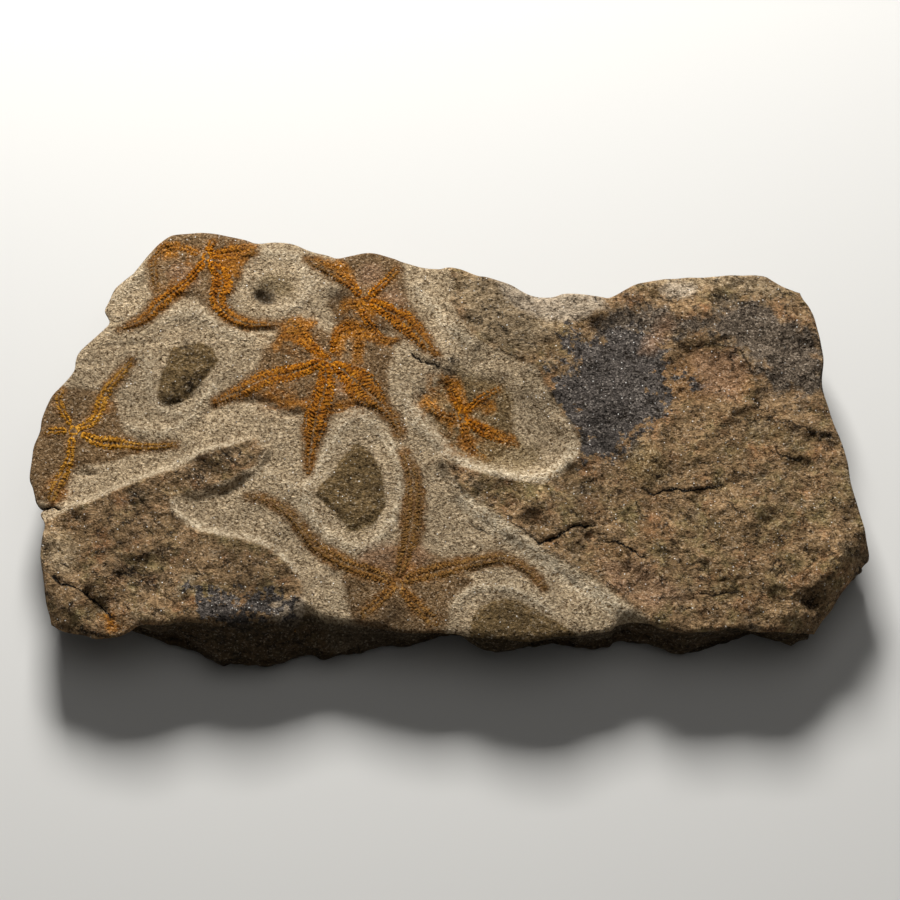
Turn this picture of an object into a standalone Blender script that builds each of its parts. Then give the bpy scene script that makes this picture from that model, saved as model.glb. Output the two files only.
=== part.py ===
"""A slab of brown sandstone with six fossil brittle stars in its upper face.

The slab lies on its flat underside. Its upper face is the bedding plane on which the animals died:
around them the rock has been scribed away by hand into pale channels, which leave each star on a low
mound and three patches of the old surface standing as islands. The sides are broken rock.
Metres, +Z up, the origin under the middle of the slab. Lengths below are in millimetres.
"""
import math

import bmesh
import bpy
import numpy as np
from mathutils import Vector, noise
from mathutils.bvhtree import BVHTree

MM = 0.001

# ---------------------------------------------------------------- driving dimensions (mm)
TOP = 24.0              # mean height of the old surface above the table
CHANNEL_DEPTH = 1.9     # how far the prepared channels lie below it
CHANNEL_SLOPE = 2.4     # width of the slope down into a channel
PLAIN_SLOPE = 6.0       # and of the gentler one along the channels' right side
MOUND_RISE = 0.6        # a star's mound above the channel floor
MOUND_SLOPE = 2.2
ARM_BANK = 0.5          # rock left beside each arm
LUMPS = 1.2             # lumps of the old surface, 7 and 13 mm across
ISLAND_RISE = 1.1       # an island's top above the channel floor
POCKET_DEPTH = 1.6      # the bowl around the right-hand star, below its channel
RIM_DROP = 1.5          # wear along the upper edge
RIM_WIDTH = 2.2
UNDERSIDE_BEVEL = 3.0   # height of the broken lower edge
FOOT_FLATNESS = 0.05    # what lies this close to the table is the flat foot
STAR_GAP = 0.3          # each fossil's clearance over the rock
STAR_EDGE = 0.35        # thickness of a star at the edge of an arm
STAR_CREST = 1.25       # and along its two rows of plates
STAR_GROOVE = 0.7       # and along the groove between the rows
STAR_STEP = 2.8         # spacing of the sections along an arm
SLAB_TRIANGLES = 6000

# Grid the slab is shaped on: cells along, cells across, rows down the side
GRID_LONG = 230
GRID_ACROSS = 108
SIDE_ROWS = 12

# ---------------------------------------------------------------- outline of the upper face
# Four edges, each from left to right or from back to front
BACK_EDGE = (
    (-88, 57), (-85, 60.3), (-81, 62.5), (-75, 63.5), (-71, 63.6), (-66, 62.8), (-61, 61.8), (-56, 60.5),
    (-51, 61), (-46, 60.4), (-40.5, 58.3), (-36, 57), (-33, 56), (-29, 56.6), (-23, 57.6), (-18, 56.5),
    (-12, 54.5), (-6, 53), (2, 52), (8, 49.5), (11, 49), (17.5, 46.5), (22.5, 44), (29, 43), (34, 44),
    (43.5, 43), (47, 43), (55, 47), (62, 48.5), (69.5, 49), (78, 49.5), (84, 49.5), (92, 49.5), (97, 47),
    (101.5, 45),
)
FRONT_EDGE = (
    (-112.5, -55.5), (-109, -57.5), (-102.5, -59), (-99.5, -60), (-94, -60), (-90, -58.5), (-87, -57),
    (-81.5, -56.5), (-73, -55), (-64.5, -55.5), (-53.5, -55), (-46.5, -54), (-40, -52), (-35, -53.5),
    (-28, -55), (-19.5, -56.5), (-11, -58.5), (0, -58.5), (7, -60), (12.5, -60.5), (22.5, -61.5),
    (29.5, -60), (39.5, -58.5), (45, -57.5), (47, -56), (51, -55), (56, -56), (59.5, -57.5),
    (67.5, -58.5), (79, -57.5), (87, -58.5), (95, -58), (103, -57),
)
LEFT_EDGE = (
    (-88, 57), (-93.5, 49.5), (-97, 47.5), (-99, 42.5), (-100, 39.5), (-98.5, 36), (-100, 34),
    (-103, 31), (-107, 27), (-108, 24), (-108.5, 20.5), (-113, 14.5), (-115, 11.5), (-117, 6),
    (-117.5, 2), (-119, -2), (-119.5, -6), (-120, -12), (-119, -15), (-117.5, -20), (-115.5, -21),
    (-116.5, -23), (-115, -26.5), (-115.5, -30), (-116, -36), (-115, -42), (-114, -49.5), (-113, -53),
    (-112.5, -55.5),
)
RIGHT_EDGE = (
    (101.5, 45), (102.2, 42.8), (104, 40), (105.5, 35.5), (107, 28), (107.5, 23), (107, 16), (109, 7),
    (111.5, -0.5), (113.5, -8), (114, -13.5), (115, -18.5), (117, -25), (118, -29), (119.3, -34.5),
    (117.5, -37), (114, -41.5), (110.5, -46), (108, -50), (105.5, -53), (103, -57),
)
# How far the foot of the front side stands out from the upper edge, along x
FRONT_FOOT = (
    (-115, -10), (-92, -9.5), (-86, -4), (-75, 1.5), (-65, 7), (-50, 6.5), (-37, 6.5), (-25, 3),
    (-14, -1.5), (-3, -5), (4, -5), (8, -3), (13, -2), (22, -4.5), (31, -3.5), (43, -2), (55, 0), (67, 0),
    (78, -1.5), (86, -5), (92, -3.5), (97, -1.5), (104, -4),
)
OTHER_FOOT = -2.5       # the other sides lean in by this much

# ---------------------------------------------------------------- the prepared area and what it left
PREPARED = (
    (-130, -27), (-115.5, -25.5), (-106.5, -22.5), (-99.5, -19.5), (-94, -16), (-85.5, -13), (-77, -9.5),
    (-71, -6.5), (-65.5, -4), (-55.5, -1), (-53, -4), (-54, -6.5), (-57, -9.5), (-64, -14),
    (-71, -16.5), (-77, -17.5), (-79.5, -19.5), (-79, -22), (-75, -27), (-71, -29), (-62, -31),
    (-54, -33), (-50, -35), (-45, -40), (-42, -43.5), (-41, -49.5), (-40, -53), (-40, -70), (60, -70),
    (56, -55), (46.5, -47), (38, -41), (32.5, -38), (28, -35), (20, -28.5), (11.5, -22), (5.5, -18),
    (1.5, -13.5), (-1.5, -7.5), (5.5, -10.5), (11.5, -12.5), (17, -13.5), (25.5, -15), (31, -12.5),
    (34, -9.5), (36.5, -6.5), (37, -2), (35.5, 2), (32, 7), (29, 12), (26.5, 17), (24.5, 21),
    (18.5, 23), (14.5, 26), (8.5, 29), (3, 35.5), (0, 41.5), (1.5, 46.5), (0, 51.5), (0, 70), (-130, 70),
)
ISLANDS = (
    # the pointed island in the middle
    ((-26.5, -1), (-22.5, -4.5), (-20, -9), (-19, -13.5), (-18.5, -18), (-18.5, -22), (-21.5, -25.5),
     (-25.5, -28), (-28.5, -28.5), (-30.5, -25.5), (-34, -22), (-38.5, -17.5), (-36.5, -14),
     (-34, -11.5), (-31.5, -7), (-28.5, -3)),
    # the egg-shaped island on the left
    ((-80.5, 27.5), (-76.5, 28.5), (-72, 29), (-68.5, 27.5), (-66.5, 23.5), (-69.5, 19.5),
     (-72.5, 15.5), (-76, 11.5), (-79, 10), (-82.5, 10), (-84, 12.5), (-83.5, 17.5), (-81.5, 23.5)),
    # the island at the front edge
    ((5.5, -57.5), (6, -54), (8.5, -51), (12, -49), (15.5, -48.5), (19.5, -49.5), (26.5, -53.5),
     (33.5, -57.5), (40, -62), (5, -66)),
)
MOUNDS = (
    ((-122, 17), (-112, 15.5), (-101.5, 14.5), (-96, 11), (-93, 1), (-85.5, -3.5), (-97, -7.5),
     (-107, -9), (-111, -19.5), (-122, -19.5)),
    ((-87, 57.5), (-81.5, 66), (-56.5, 66), (-57.5, 57.5), (-60, 51), (-61.5, 45), (-64, 41.5),
     (-71, 41), (-75, 44), (-82.5, 41.5), (-86, 45)),
    ((-52.5, 29), (-49, 35.5), (-40.5, 36), (-34.5, 32.5), (-30.5, 36), (-18.5, 32.5), (-16, 26),
     (-18, 20), (-17, 11), (-26, 10), (-34.5, 7.5), (-43, 7), (-51.5, 11), (-60, 13), (-64.5, 11.5),
     (-57.5, 18.5)),
    ((-35, 53.5), (-29, 60), (-14.5, 60), (-13.5, 49.5), (-11.5, 41.5), (-6, 32.5), (-14.5, 32.5),
     (-21.5, 32.5), (-31.5, 34), (-36, 41.5), (-32, 46.5)),
    ((-31, -42), (-27.5, -54.5), (-15.5, -64), (-1.5, -64), (0, -49.5), (7, -43), (0, -36),
     (-5.5, -34.5), (-11, -31.5), (-14, -31.5), (-24, -35)),
    ((-5.5, 12.5), (1.5, 18.5), (14.5, 17), (18, 11), (18.5, -1.5), (13, -7), (4.5, -4.5), (-3, 1.5)),
)
POCKET = ((-9, 14), (0, 21), (16, 21), (25, 14), (32, 3), (32, -6), (22, -12), (10, -10), (0, -6), (-8, 4))

# Ledges run from left to right, with the lower rock in front: points, drop, width of the fall
LEDGES = (
    (((52.5, -15.5), (58.5, -17), (64, -16.5), (68, -17), (72.5, -16.5), (79.5, -14.5)), 0.75, 9),
    (((22.5, -30), (27, -31.5), (31, -30), (34, -27.5), (39.5, -26.5)), 0.8, 7),
    (((42.5, -31.5), (48, -33), (53.5, -36)), 0.6, 7),
    (((66.5, 29), (72, 27.5), (78, 27.5), (83.5, 24.5), (86, 20), (88, 15.5)), 0.55, 9),
    (((88.5, 6), (100, 1.5), (111.5, -0.5)), 0.7, 9),
    (((93, -3), (95.5, -7.5), (103, -7)), 0.45, 6),
    (((65.5, -6), (68.5, -8), (72.5, -8), (79.5, -6.5)), 0.4, 6),
    (((1.5, -13.5), (6.5, -18.5), (14, -23), (18.5, -27)), 0.2, 3),
    (((78, -19.5), (82.5, -25.5)), 0.4, 5),
    (((25.5, -15), (30, -18.5), (35.5, -22.5)), 0.45, 6),
    (((-11, 25.5), (-7, 23), (-3, 21)), 0.9, 6),
    (((3, 36), (8, 32.5), (14.5, 27)), 0.4, 5),
    (((1.5, -25.5), (8.5, -27), (17, -29)), 0.3, 4),
    (((-111.5, -42), (-107, -46), (-103, -48), (-95, -52.5)), 0.75, 8),
    (((-119.5, -20), (-115.5, -21), (-108.5, -22)), 1.1, 5),
    (((69, -46), (76, -47.5), (84, -47)), 0.6, 8),
)
# Pits and lumps: x, y, radius, height
SPOTS = (
    (-54.5, 44, 2.6, -2.2), (102, -49, 2.4, -4.0), (-90.5, -41, 4, -0.7), (-45, -22, 4, -0.5),
    (-50.5, 49, 3.4, 1.3), (-7, 10, 2.2, 0.8), (76, 20, 8, 0.9), (52, -58, 5, -2.2),
    (-104, -30, 11, 0.9), (-66, -44, 9, 0.5), (50, 8, 12, 0.5), (28, -21, 9, 0.7), (92, -30, 14, 0.6),
)
# Corners broken away: a point on the upper edge of the break, the way it faces, its slope
BREAKS = (
    ((101, -47), (0.75, -0.66), 0.65),
    ((111, -38), (0.80, -0.60), 0.6),
    ((-108, -51), (-0.6, -0.8), 0.55),
    ((-92, 50), (-0.75, 0.66), 0.6),
    ((100, 43.5), (0.6, 0.8), 0.5),
)

# ---------------------------------------------------------------- the brittle stars
# Each arm is its centre line outward from the mouth, with its width at each point
STARS = {
    "brittle_star_top_left": ((-70.5, 55.6), (
        ((-72.2, 53.1, 2.6), (-74.7, 49.7, 2.6), (-78.1, 46.2, 3.1), (-81.5, 43.4, 3.7),
         (-84.6, 40.6, 4.3), (-87.4, 37.5, 3.4), (-90.8, 35, 2.3), (-95.1, 33.5, 1.1)),
        ((-73.7, 56.9, 2.3), (-77.8, 58.5, 2.6), (-81.9, 58.5, 2.6), (-85, 56.6, 2.3),
         (-86.1, 53.4, 2.3), (-85.7, 49.7, 2.6), (-84.8, 45.6, 2.3), (-83.8, 43.1, 1.4)),
        ((-70, 58.2, 2.3), (-69.4, 59.7, 2.6), (-68.8, 60.7, 2.3)),
        ((-68.5, 56.3, 2.6), (-65, 56.9, 4), (-61.5, 57.2, 4.9), (-58.3, 57.5, 4)),
        ((-69, 53.1, 2.9), (-66.6, 50.3, 5.7), (-66, 46.6, 6.3), (-67.3, 42.5, 5.1),
         (-65.8, 39.1, 4.3), (-62.3, 36.3, 3.7), (-57.7, 34.7, 2.6), (-54.2, 34.6, 1.7),
         (-51, 34.7, 1.1)),
    )),
    "brittle_star_left": ((-107.7, 1.8), (
        ((-109.2, 4.6, 2), (-111.3, 8.2, 2.3), (-112.3, 11.6, 2.3), (-111.5, 14.4, 1.4)),
        ((-105.7, 3, 2.3), (-102.4, 4.6, 2.9), (-100.7, 7.9, 3.1), (-99.7, 11.9, 3.4),
         (-97.8, 15.6, 3.1), (-95.3, 19, 2.6), (-93.1, 22, 2.3), (-91.7, 23.9, 1.1)),
        ((-104.5, 0.3, 2.3), (-100.8, -1.2, 3.4), (-96.5, -1.8, 4), (-92.5, -2.1, 3.1),
         (-88.4, -2.7, 2.3), (-83.3, -2.7, 1.7), (-78.5, -2.1, 1.1)),
        ((-108.2, -1.2, 2.3), (-108.4, -4.9, 2.6), (-109.4, -8.8, 3.1), (-111, -12.4, 3.7),
         (-112.6, -15.8, 4), (-113.3, -18.5, 2.6)),
        ((-110.6, 1.8, 2), (-113.4, 1.8, 2.6), (-115.7, 1.8, 1.7)),
    )),
    "brittle_star_centre": ((-35.4, 23.9), (
        ((-38.2, 22.4, 3.4), (-42.2, 20.8, 4.6), (-46.5, 19.6, 5.1), (-51.1, 18.7, 5.4),
         (-55.1, 17.1, 5.4), (-59.1, 15, 4.9), (-63.1, 13.1, 3.4), (-67.3, 11.3, 1.7)),
        ((-37.4, 25.7, 2.6), (-40.3, 27.9, 3.4), (-42.6, 30.4, 5.7), (-44.4, 32.6, 6.8),
         (-45.9, 34.7, 4)),
        ((-35.9, 20.8, 3.7), (-35.6, 17.1, 5.4), (-36.4, 12.8, 6.3), (-37.8, 8.2, 7.1),
         (-38.6, 4.3, 6.8), (-39.4, 0, 4.9), (-39.9, -4.3, 3.1), (-40.2, -8.5, 2), (-40.4, -10.9, 1.1)),
        ((-32.8, 22, 3.4), (-29.6, 19.3, 6.6), (-26.1, 16.2, 9.4), (-22.6, 12.8, 7.7), (-19.5, 9.5, 4),
         (-16.9, 6.7, 3.1), (-15.1, 3.7, 2.9), (-14.6, 0.6, 2)),
        ((-33.7, 27, 2), (-33.4, 30.1, 2), (-32, 32.9, 2.3), (-29.7, 34.4, 2.3), (-27.4, 33.5, 2),
         (-26.5, 30.7, 2.3), (-26.5, 27, 2.3), (-27, 23.3, 1.7)),
    )),
    "brittle_star_top": ((-24.6, 41.9), (
        ((-26.6, 44.4, 2.6), (-28.9, 47.2, 3.1), (-31.9, 49.7, 3.4), (-35.4, 51.9, 3.1),
         (-38.8, 53.8, 2.6), (-41.2, 55, 1.7)),
        ((-22.6, 44.4, 2.3), (-20, 46.9, 2.6), (-17.4, 49.7, 2.6), (-15.6, 52.2, 2.3)),
        ((-22, 41.3, 3.4), (-18.5, 39.4, 4.9), (-15, 37.2, 6.3), (-11.8, 34.4, 6.3), (-8.9, 31, 5.1),
         (-6.3, 27.6, 3.4), (-3.7, 24.8, 1.4)),
        ((-27.2, 40.9, 2.9), (-29.7, 40.3, 3.1), (-31.8, 38.8, 2.3), (-32.3, 37.2, 1.4)),
        ((-25.4, 38.8, 2), (-24.8, 36.9, 2), (-22.8, 34.4, 2.3), (-20.5, 31.6, 2.3), (-17.9, 29.8, 2),
         (-15.3, 30.1, 1.4)),
    )),
    "brittle_star_right": ((3.7, 7), (
        ((5.2, 8.8, 2.3), (7.7, 11.3, 2.6), (10.6, 13.4, 2.6), (14.1, 15.3, 1.4)),
        ((5.7, 4.9, 2.6), (9.1, 2.7, 3.7), (12.9, 0.9, 3.7), (16.3, -0.6, 2.6), (18.6, -1.8, 1.4)),
        ((4, 4, 2.3), (4.6, 0.3, 2.3), (6.6, -3, 2.3), (11.1, -6.7, 1.1)),
        ((1.1, 6.7, 2.3), (-1.7, 6.7, 2.6), (-4.9, 8.5, 2.3), (-6.9, 10.7, 1.7)),
        ((2.6, 9.8, 2.6), (1.4, 12.5, 2.9), (0.3, 15.3, 2.6), (-0.9, 18, 1.7)),
    )),
    "brittle_star_front": ((-14.7, -43.9), (
        ((-17.2, -43, 2.6), (-21.2, -41.2, 4), (-26, -39.7, 4.3), (-30.5, -37.6, 4),
         (-34.5, -35.2, 3.7), (-38.2, -32.6, 3.4), (-41.3, -29, 3.1), (-44.2, -24.8, 2.9),
         (-47.7, -21.5, 2.6), (-52, -19.1, 2.3), (-57.4, -17.6, 1.4)),
        ((-14.4, -40.9, 2.6), (-13, -36.7, 4.3), (-11.9, -32.3, 5.1), (-11, -27.5, 5.4),
         (-10.5, -22.4, 5.4), (-10.2, -17.6, 5.1), (-10.5, -12.7, 4), (-11.7, -8.5, 3.1),
         (-13.1, -4.6, 2)),
        ((-11.8, -42.7, 3.1), (-7.1, -41.2, 4.3), (-1.4, -40, 4.9), (4.2, -38.5, 4.3),
         (9.9, -37.3, 3.7), (15, -36.7, 3.1), (19.2, -38.2, 2.6), (23.1, -41.2, 2), (26.8, -45.4, 1.1)),
        ((-16.6, -45.7, 2.6), (-18.9, -48, 3.1), (-21.7, -50.7, 3.1), (-24.5, -53, 2.6)),
        ((-13.2, -46.2, 2.6), (-10.7, -49.2, 3.7), (-7.6, -52.5, 4), (-4.5, -55.4, 3.4)),
    )),
}

# Material: colour, roughness
SANDSTONE = ((0.145, 0.105, 0.062), 0.92)
FOSSIL = ((0.42, 0.155, 0.028), 0.85)


# ---------------------------------------------------------------- curves and distances
def smooth_line(points, steps=6):
    """Catmull-Rom curve through an open row of points."""
    p = np.array(points, float)
    p = np.vstack([2 * p[0] - p[1], p, 2 * p[-1] - p[-2]])
    t = np.linspace(0, 1, steps, endpoint=False)[:, None]
    runs = []
    for a, b, c, d in zip(p[:-3], p[1:-2], p[2:-1], p[3:]):
        runs.append(0.5 * (2 * b + (c - a) * t + (2 * a - 5 * b + 4 * c - d) * t ** 2
                           + (3 * b - a - 3 * c + d) * t ** 3))
    return np.vstack(runs + [p[-2:-1]])


def resample(line, count):
    """The same line as count points at equal spacing."""
    reach = np.concatenate([[0], np.cumsum(np.linalg.norm(np.diff(line[:, :2], axis=0), axis=1))])
    at = np.linspace(0, reach[-1], count)
    return np.stack([np.interp(at, reach, column) for column in line.T], axis=1)


def nearest_on_line(xy, line):
    """Distance to a line, the side of it (+ on its left) and how far along it that is (0 to 1)."""
    line = np.array(line, float)
    best = np.full(len(xy), np.inf)
    side = np.zeros(len(xy))
    along = np.zeros(len(xy))
    for k, (a, b) in enumerate(zip(line[:-1], line[1:])):
        run = b - a
        t = np.clip((xy - a) @ run / (run @ run), 0, 1)
        off = xy - a - t[:, None] * run
        distance = np.hypot(off[:, 0], off[:, 1])
        closer = distance < best
        best = np.where(closer, distance, best)
        side = np.where(closer, np.sign(run[0] * off[:, 1] - run[1] * off[:, 0]), side)
        along = np.where(closer, (k + t) / (len(line) - 1), along)
    return best, side, along


def depth_inside(xy, corners):
    """Distance to a closed outline, positive inside it."""
    ring = np.array(corners + corners[:1], float)
    distance = nearest_on_line(xy, ring)[0]
    inside = np.zeros(len(xy), bool)
    for a, b in zip(ring[:-1], ring[1:]):
        spans = (a[1] > xy[:, 1]) != (b[1] > xy[:, 1])
        rise = b[1] - a[1] if b[1] != a[1] else 1.0
        inside ^= spans & (xy[:, 0] < a[0] + (b[0] - a[0]) * (xy[:, 1] - a[1]) / rise)
    return np.where(inside, distance, -distance)


def ease(value):
    """0 below 0, 1 above 1, smooth between."""
    t = np.clip(value, 0, 1)
    return t * t * (3 - 2 * t)


def roughness(xy, size, seed):
    """Smooth noise about 0, with lumps of the given size."""
    return np.array([noise.noise(Vector((x / size, y / size, seed))) for x, y in xy])


# ---------------------------------------------------------------- shape of the slab
def mound_depth(xy):
    """Distance inside the nearest mound or arm, negative outside them all."""
    depth = np.full(len(xy), -np.inf)
    for corners in MOUNDS:
        depth = np.maximum(depth, depth_inside(xy, corners))
    for _, arms in STARS.values():
        for arm in arms:
            line = smooth_line(arm, 3)
            distance, _, along = nearest_on_line(xy, line[:, :2])
            half = np.interp(along, np.linspace(0, 1, len(line)), line[:, 2]) / 2
            depth = np.maximum(depth, half + ARM_BANK - distance)
    return depth


def top_height(xy):
    """Height of the upper face at points of the plan, without the wear of its edge."""
    z = TOP + 1.3 * roughness(xy, 46, 3.1) + 0.9 * roughness(xy, 17, 8.7) + 0.5 * roughness(xy, 6, 1.9)
    wobble = 0.9 * roughness(xy, 5, 4.4)
    slope = CHANNEL_SLOPE + (PLAIN_SLOPE - CHANNEL_SLOPE) * ease((xy[:, 0] + 6) / 12)
    prepared = ease((depth_inside(xy, PREPARED) + wobble) / slope)
    island = np.full(len(xy), -np.inf)
    for corners in ISLANDS:
        island = np.maximum(island, depth_inside(xy, corners))
    mound = ease((mound_depth(xy) + 0.5 * wobble) / MOUND_SLOPE)
    island = ease((island + wobble) / CHANNEL_SLOPE)
    pocket = ease((depth_inside(xy, POCKET) + wobble) / 6)
    left = np.maximum(MOUND_RISE * mound, ISLAND_RISE * island)
    z += prepared * (left - CHANNEL_DEPTH - POCKET_DEPTH * pocket)
    z += (1 - prepared) * LUMPS * (roughness(xy, 7, 51.0) + 1.4 * roughness(xy, 13, 52.0))
    for line, drop, width in LEDGES:
        distance, side, along = nearest_on_line(xy, line)
        fade = np.exp(-distance / width) * np.sqrt(np.clip(4 * along * (1 - along), 0, 1))
        z += np.where(side < 0, -0.65, 0.35) * drop * fade * np.clip(distance / 0.8, 0.2, 1)
    for x, y, radius, height in SPOTS:
        z += height * np.exp(-((xy[:, 0] - x) ** 2 + (xy[:, 1] - y) ** 2) / radius ** 2)
    for point, facing, slope in BREAKS:
        beyond = (xy - np.array(point)) @ np.array(facing)
        z -= slope * np.clip(beyond, 0, None)
    return z


def edge_lines():
    """The four edges of the upper face, smoothed, with as many points as the grid has."""
    back, front = (resample(smooth_line(e), GRID_LONG + 1) for e in (BACK_EDGE, FRONT_EDGE))
    left, right = (resample(smooth_line(e), GRID_ACROSS + 1) for e in (LEFT_EDGE, RIGHT_EDGE))
    return back, front, left[::-1], right[::-1]


def plan_point(u, w, edges):
    """Point of the plan at u along and w from front to back, blended from the four edges."""
    back, front, left, right = edges
    i, j = round(u * GRID_LONG), round(w * GRID_ACROSS)
    across = (1 - w) * front[i] + w * back[i]
    along = (1 - u) * left[j] + u * right[j]
    corners = ((1 - w) * ((1 - u) * front[0] + u * front[-1]) + w * ((1 - u) * back[0] + u * back[-1]))
    return across + along - corners


def side_offset(x, y, facing, fall):
    """How far the side stands out at a fall of 0 to 1 below the upper edge."""
    foot_x, foot_out = zip(*FRONT_FOOT)
    front = ease(np.array(-facing[1] * 1.6 - 0.3))
    foot = front * np.interp(x, foot_x, foot_out) + (1 - front) * OTHER_FOOT
    lean = foot * min(1.0, fall / 0.55) ** 0.8
    layers = noise.noise(Vector((x / 30, y / 30, fall * 5.5))) * 2.4
    chips = noise.noise(Vector((x / 8, y / 8, fall * 3 + 20))) * 1.7
    return lean + (layers + chips) * min(1.0, fall * 4)


def slab_mesh():
    """Grid over the plan, raised to the upper face, with sides drawn down to a flat underside."""
    bm = bmesh.new()
    bmesh.ops.create_grid(bm, x_segments=GRID_LONG, y_segments=GRID_ACROSS, size=1.0)
    edges = edge_lines()
    plan = np.array([plan_point((v.co.x + 1) / 2, (v.co.y + 1) / 2, edges) for v in bm.verts])
    back, front, left, right = edges
    rim = np.vstack([front, right, back[::-1], left[::-1]])
    depth = depth_inside(plan, [tuple(p) for p in rim[::3]])
    heights = top_height(plan) - RIM_DROP * np.exp(-np.clip(depth, 0, None) / RIM_WIDTH)
    for vert, (x, y), z in zip(bm.verts, plan, heights):
        vert.co = (x, y, z)
    draw_sides_down(bm)
    bmesh.ops.recalc_face_normals(bm, faces=bm.faces)
    bmesh.ops.scale(bm, vec=(MM, MM, MM), verts=bm.verts)
    mesh = bpy.data.meshes.new("sandstone_slab")
    bm.to_mesh(mesh)
    bm.free()
    return mesh


def ordered_rim(bm):
    """The vertices around the open edge, in order."""
    edge = next(e for e in bm.edges if e.is_boundary)
    start, vert = edge.verts
    ring = [start]
    while vert is not start:
        ring.append(vert)
        edge = next(e for e in vert.link_edges if e.is_boundary and e is not edge)
        vert = edge.other_vert(vert)
    return ring


def draw_sides_down(bm):
    """Rows of faces from the rim to the table, leaned and chipped, closed by a flat underside."""
    number = bm.verts.layers.int.new("place_on_rim")
    rim = ordered_rim(bm)
    for k, vert in enumerate(rim):
        vert[number] = k
    base = [vert.co.copy() for vert in rim]
    reach = len(base) // 60
    runs = [base[(k + reach) % len(base)] - base[k - reach] for k in range(len(base))]
    turn = math.copysign(1, sum(a.x * b.y - a.y * b.x for a, b in zip(base, base[1:] + base[:1])))
    facing = [Vector((run.y, -run.x, 0)).normalized() * turn for run in runs]
    for row in range(1, SIDE_ROWS + 1):
        rim_edges = [edge for edge in bm.edges if edge.is_boundary]
        drawn = bmesh.ops.extrude_edge_only(bm, edges=rim_edges)["geom"]
        for vert in (item for item in drawn if isinstance(item, bmesh.types.BMVert)):
            k = vert[number]
            vert.co = side_point(base[k], facing[k], row / SIDE_ROWS)
    bmesh.ops.edgeloop_fill(bm, edges=[edge for edge in bm.edges if edge.is_boundary])


def side_point(spot, facing, fall):
    """Point of the side below a point of the rim, at a fall of 0 to 1 on the way to the table."""
    z = spot.z * (1 - fall)
    out = side_offset(spot.x, spot.y, facing, fall) - 0.8 * max(0, UNDERSIDE_BEVEL - z)
    return Vector((spot.x + facing.x * out, spot.y + facing.y * out, z))


def make_slab(collection):
    """The slab, its grid thinned to flat facets of many sizes, as broken rock has."""
    mesh = slab_mesh()
    grid = bpy.data.objects.new("slab_grid", mesh)
    collection.objects.link(grid)
    thin = grid.modifiers.new("facets", "DECIMATE")
    mesh.calc_loop_triangles()
    thin.ratio = SLAB_TRIANGLES / len(mesh.loop_triangles)
    graph = bpy.context.evaluated_depsgraph_get()
    facets = bpy.data.meshes.new_from_object(grid.evaluated_get(graph))
    bpy.data.objects.remove(grid, do_unlink=True)
    for vert in facets.vertices:
        if vert.co.z < FOOT_FLATNESS * MM:
            vert.co.z = 0
    facets.name = "sandstone_slab"
    facets.materials.clear()
    facets.materials.append(material("ferruginous_sandstone", *SANDSTONE))
    slab = bpy.data.objects.new("sandstone_slab", facets)
    collection.objects.link(slab)
    return slab


# ---------------------------------------------------------------- the stars
# Across an arm: place from -1 (its right edge) to 1, and thickness
TOP_SECTION = ((-1, STAR_EDGE), (-0.5, STAR_CREST), (0, STAR_GROOVE), (0.5, STAR_CREST), (1, STAR_EDGE))
FOOT_SECTION = ((-1, 0), (0, 0), (1, 0))


def rock_height(tree, x, y):
    """Height of the rock under a point, the highest of a few close by (mm)."""
    heights = []
    for dx, dy in ((0, 0), (0.7, 0), (-0.7, 0), (0, 0.7), (0, -0.7)):
        hit = tree.ray_cast(Vector(((x + dx) * MM, (y + dy) * MM, 1)), Vector((0, 0, -1)))[0]
        if hit:
            heights.append(hit.z / MM)
    return max(heights)


def arm_sections(bm, arm, place):
    """Rows of vertices across one arm, from its mouth to its tip: top row and foot row of each."""
    line = smooth_line(arm)
    length = np.linalg.norm(np.diff(line[:, :2], axis=0), axis=1).sum()
    count = max(3, round(length / STAR_STEP))
    line = resample(line, count + 1)
    run = np.gradient(line[:, :2], axis=0)
    run /= np.linalg.norm(run, axis=1)[:, None]
    left = np.stack([-run[:, 1], run[:, 0]], axis=1)
    half = line[:, 2] / 2
    sections = []
    for k in range(count + 1):
        low = 0.55 + 0.45 * half[k] / half.max()
        rows = []
        for section in (TOP_SECTION, FOOT_SECTION):
            spots = [(line[k, :2] + left[k] * half[k] * across, lift) for across, lift in section]
            rows.append([place(bm, spot, STAR_EDGE + (lift - STAR_EDGE) * low if lift else 0)
                         for spot, lift in spots])
        sections.append(rows)
    return sections


def skin_strip(bm, near, far):
    """Faces between two rows of vertices."""
    for a, b, c, d in zip(near, near[1:], far[1:], far):
        bm.faces.new((a, b, c, d))


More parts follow.
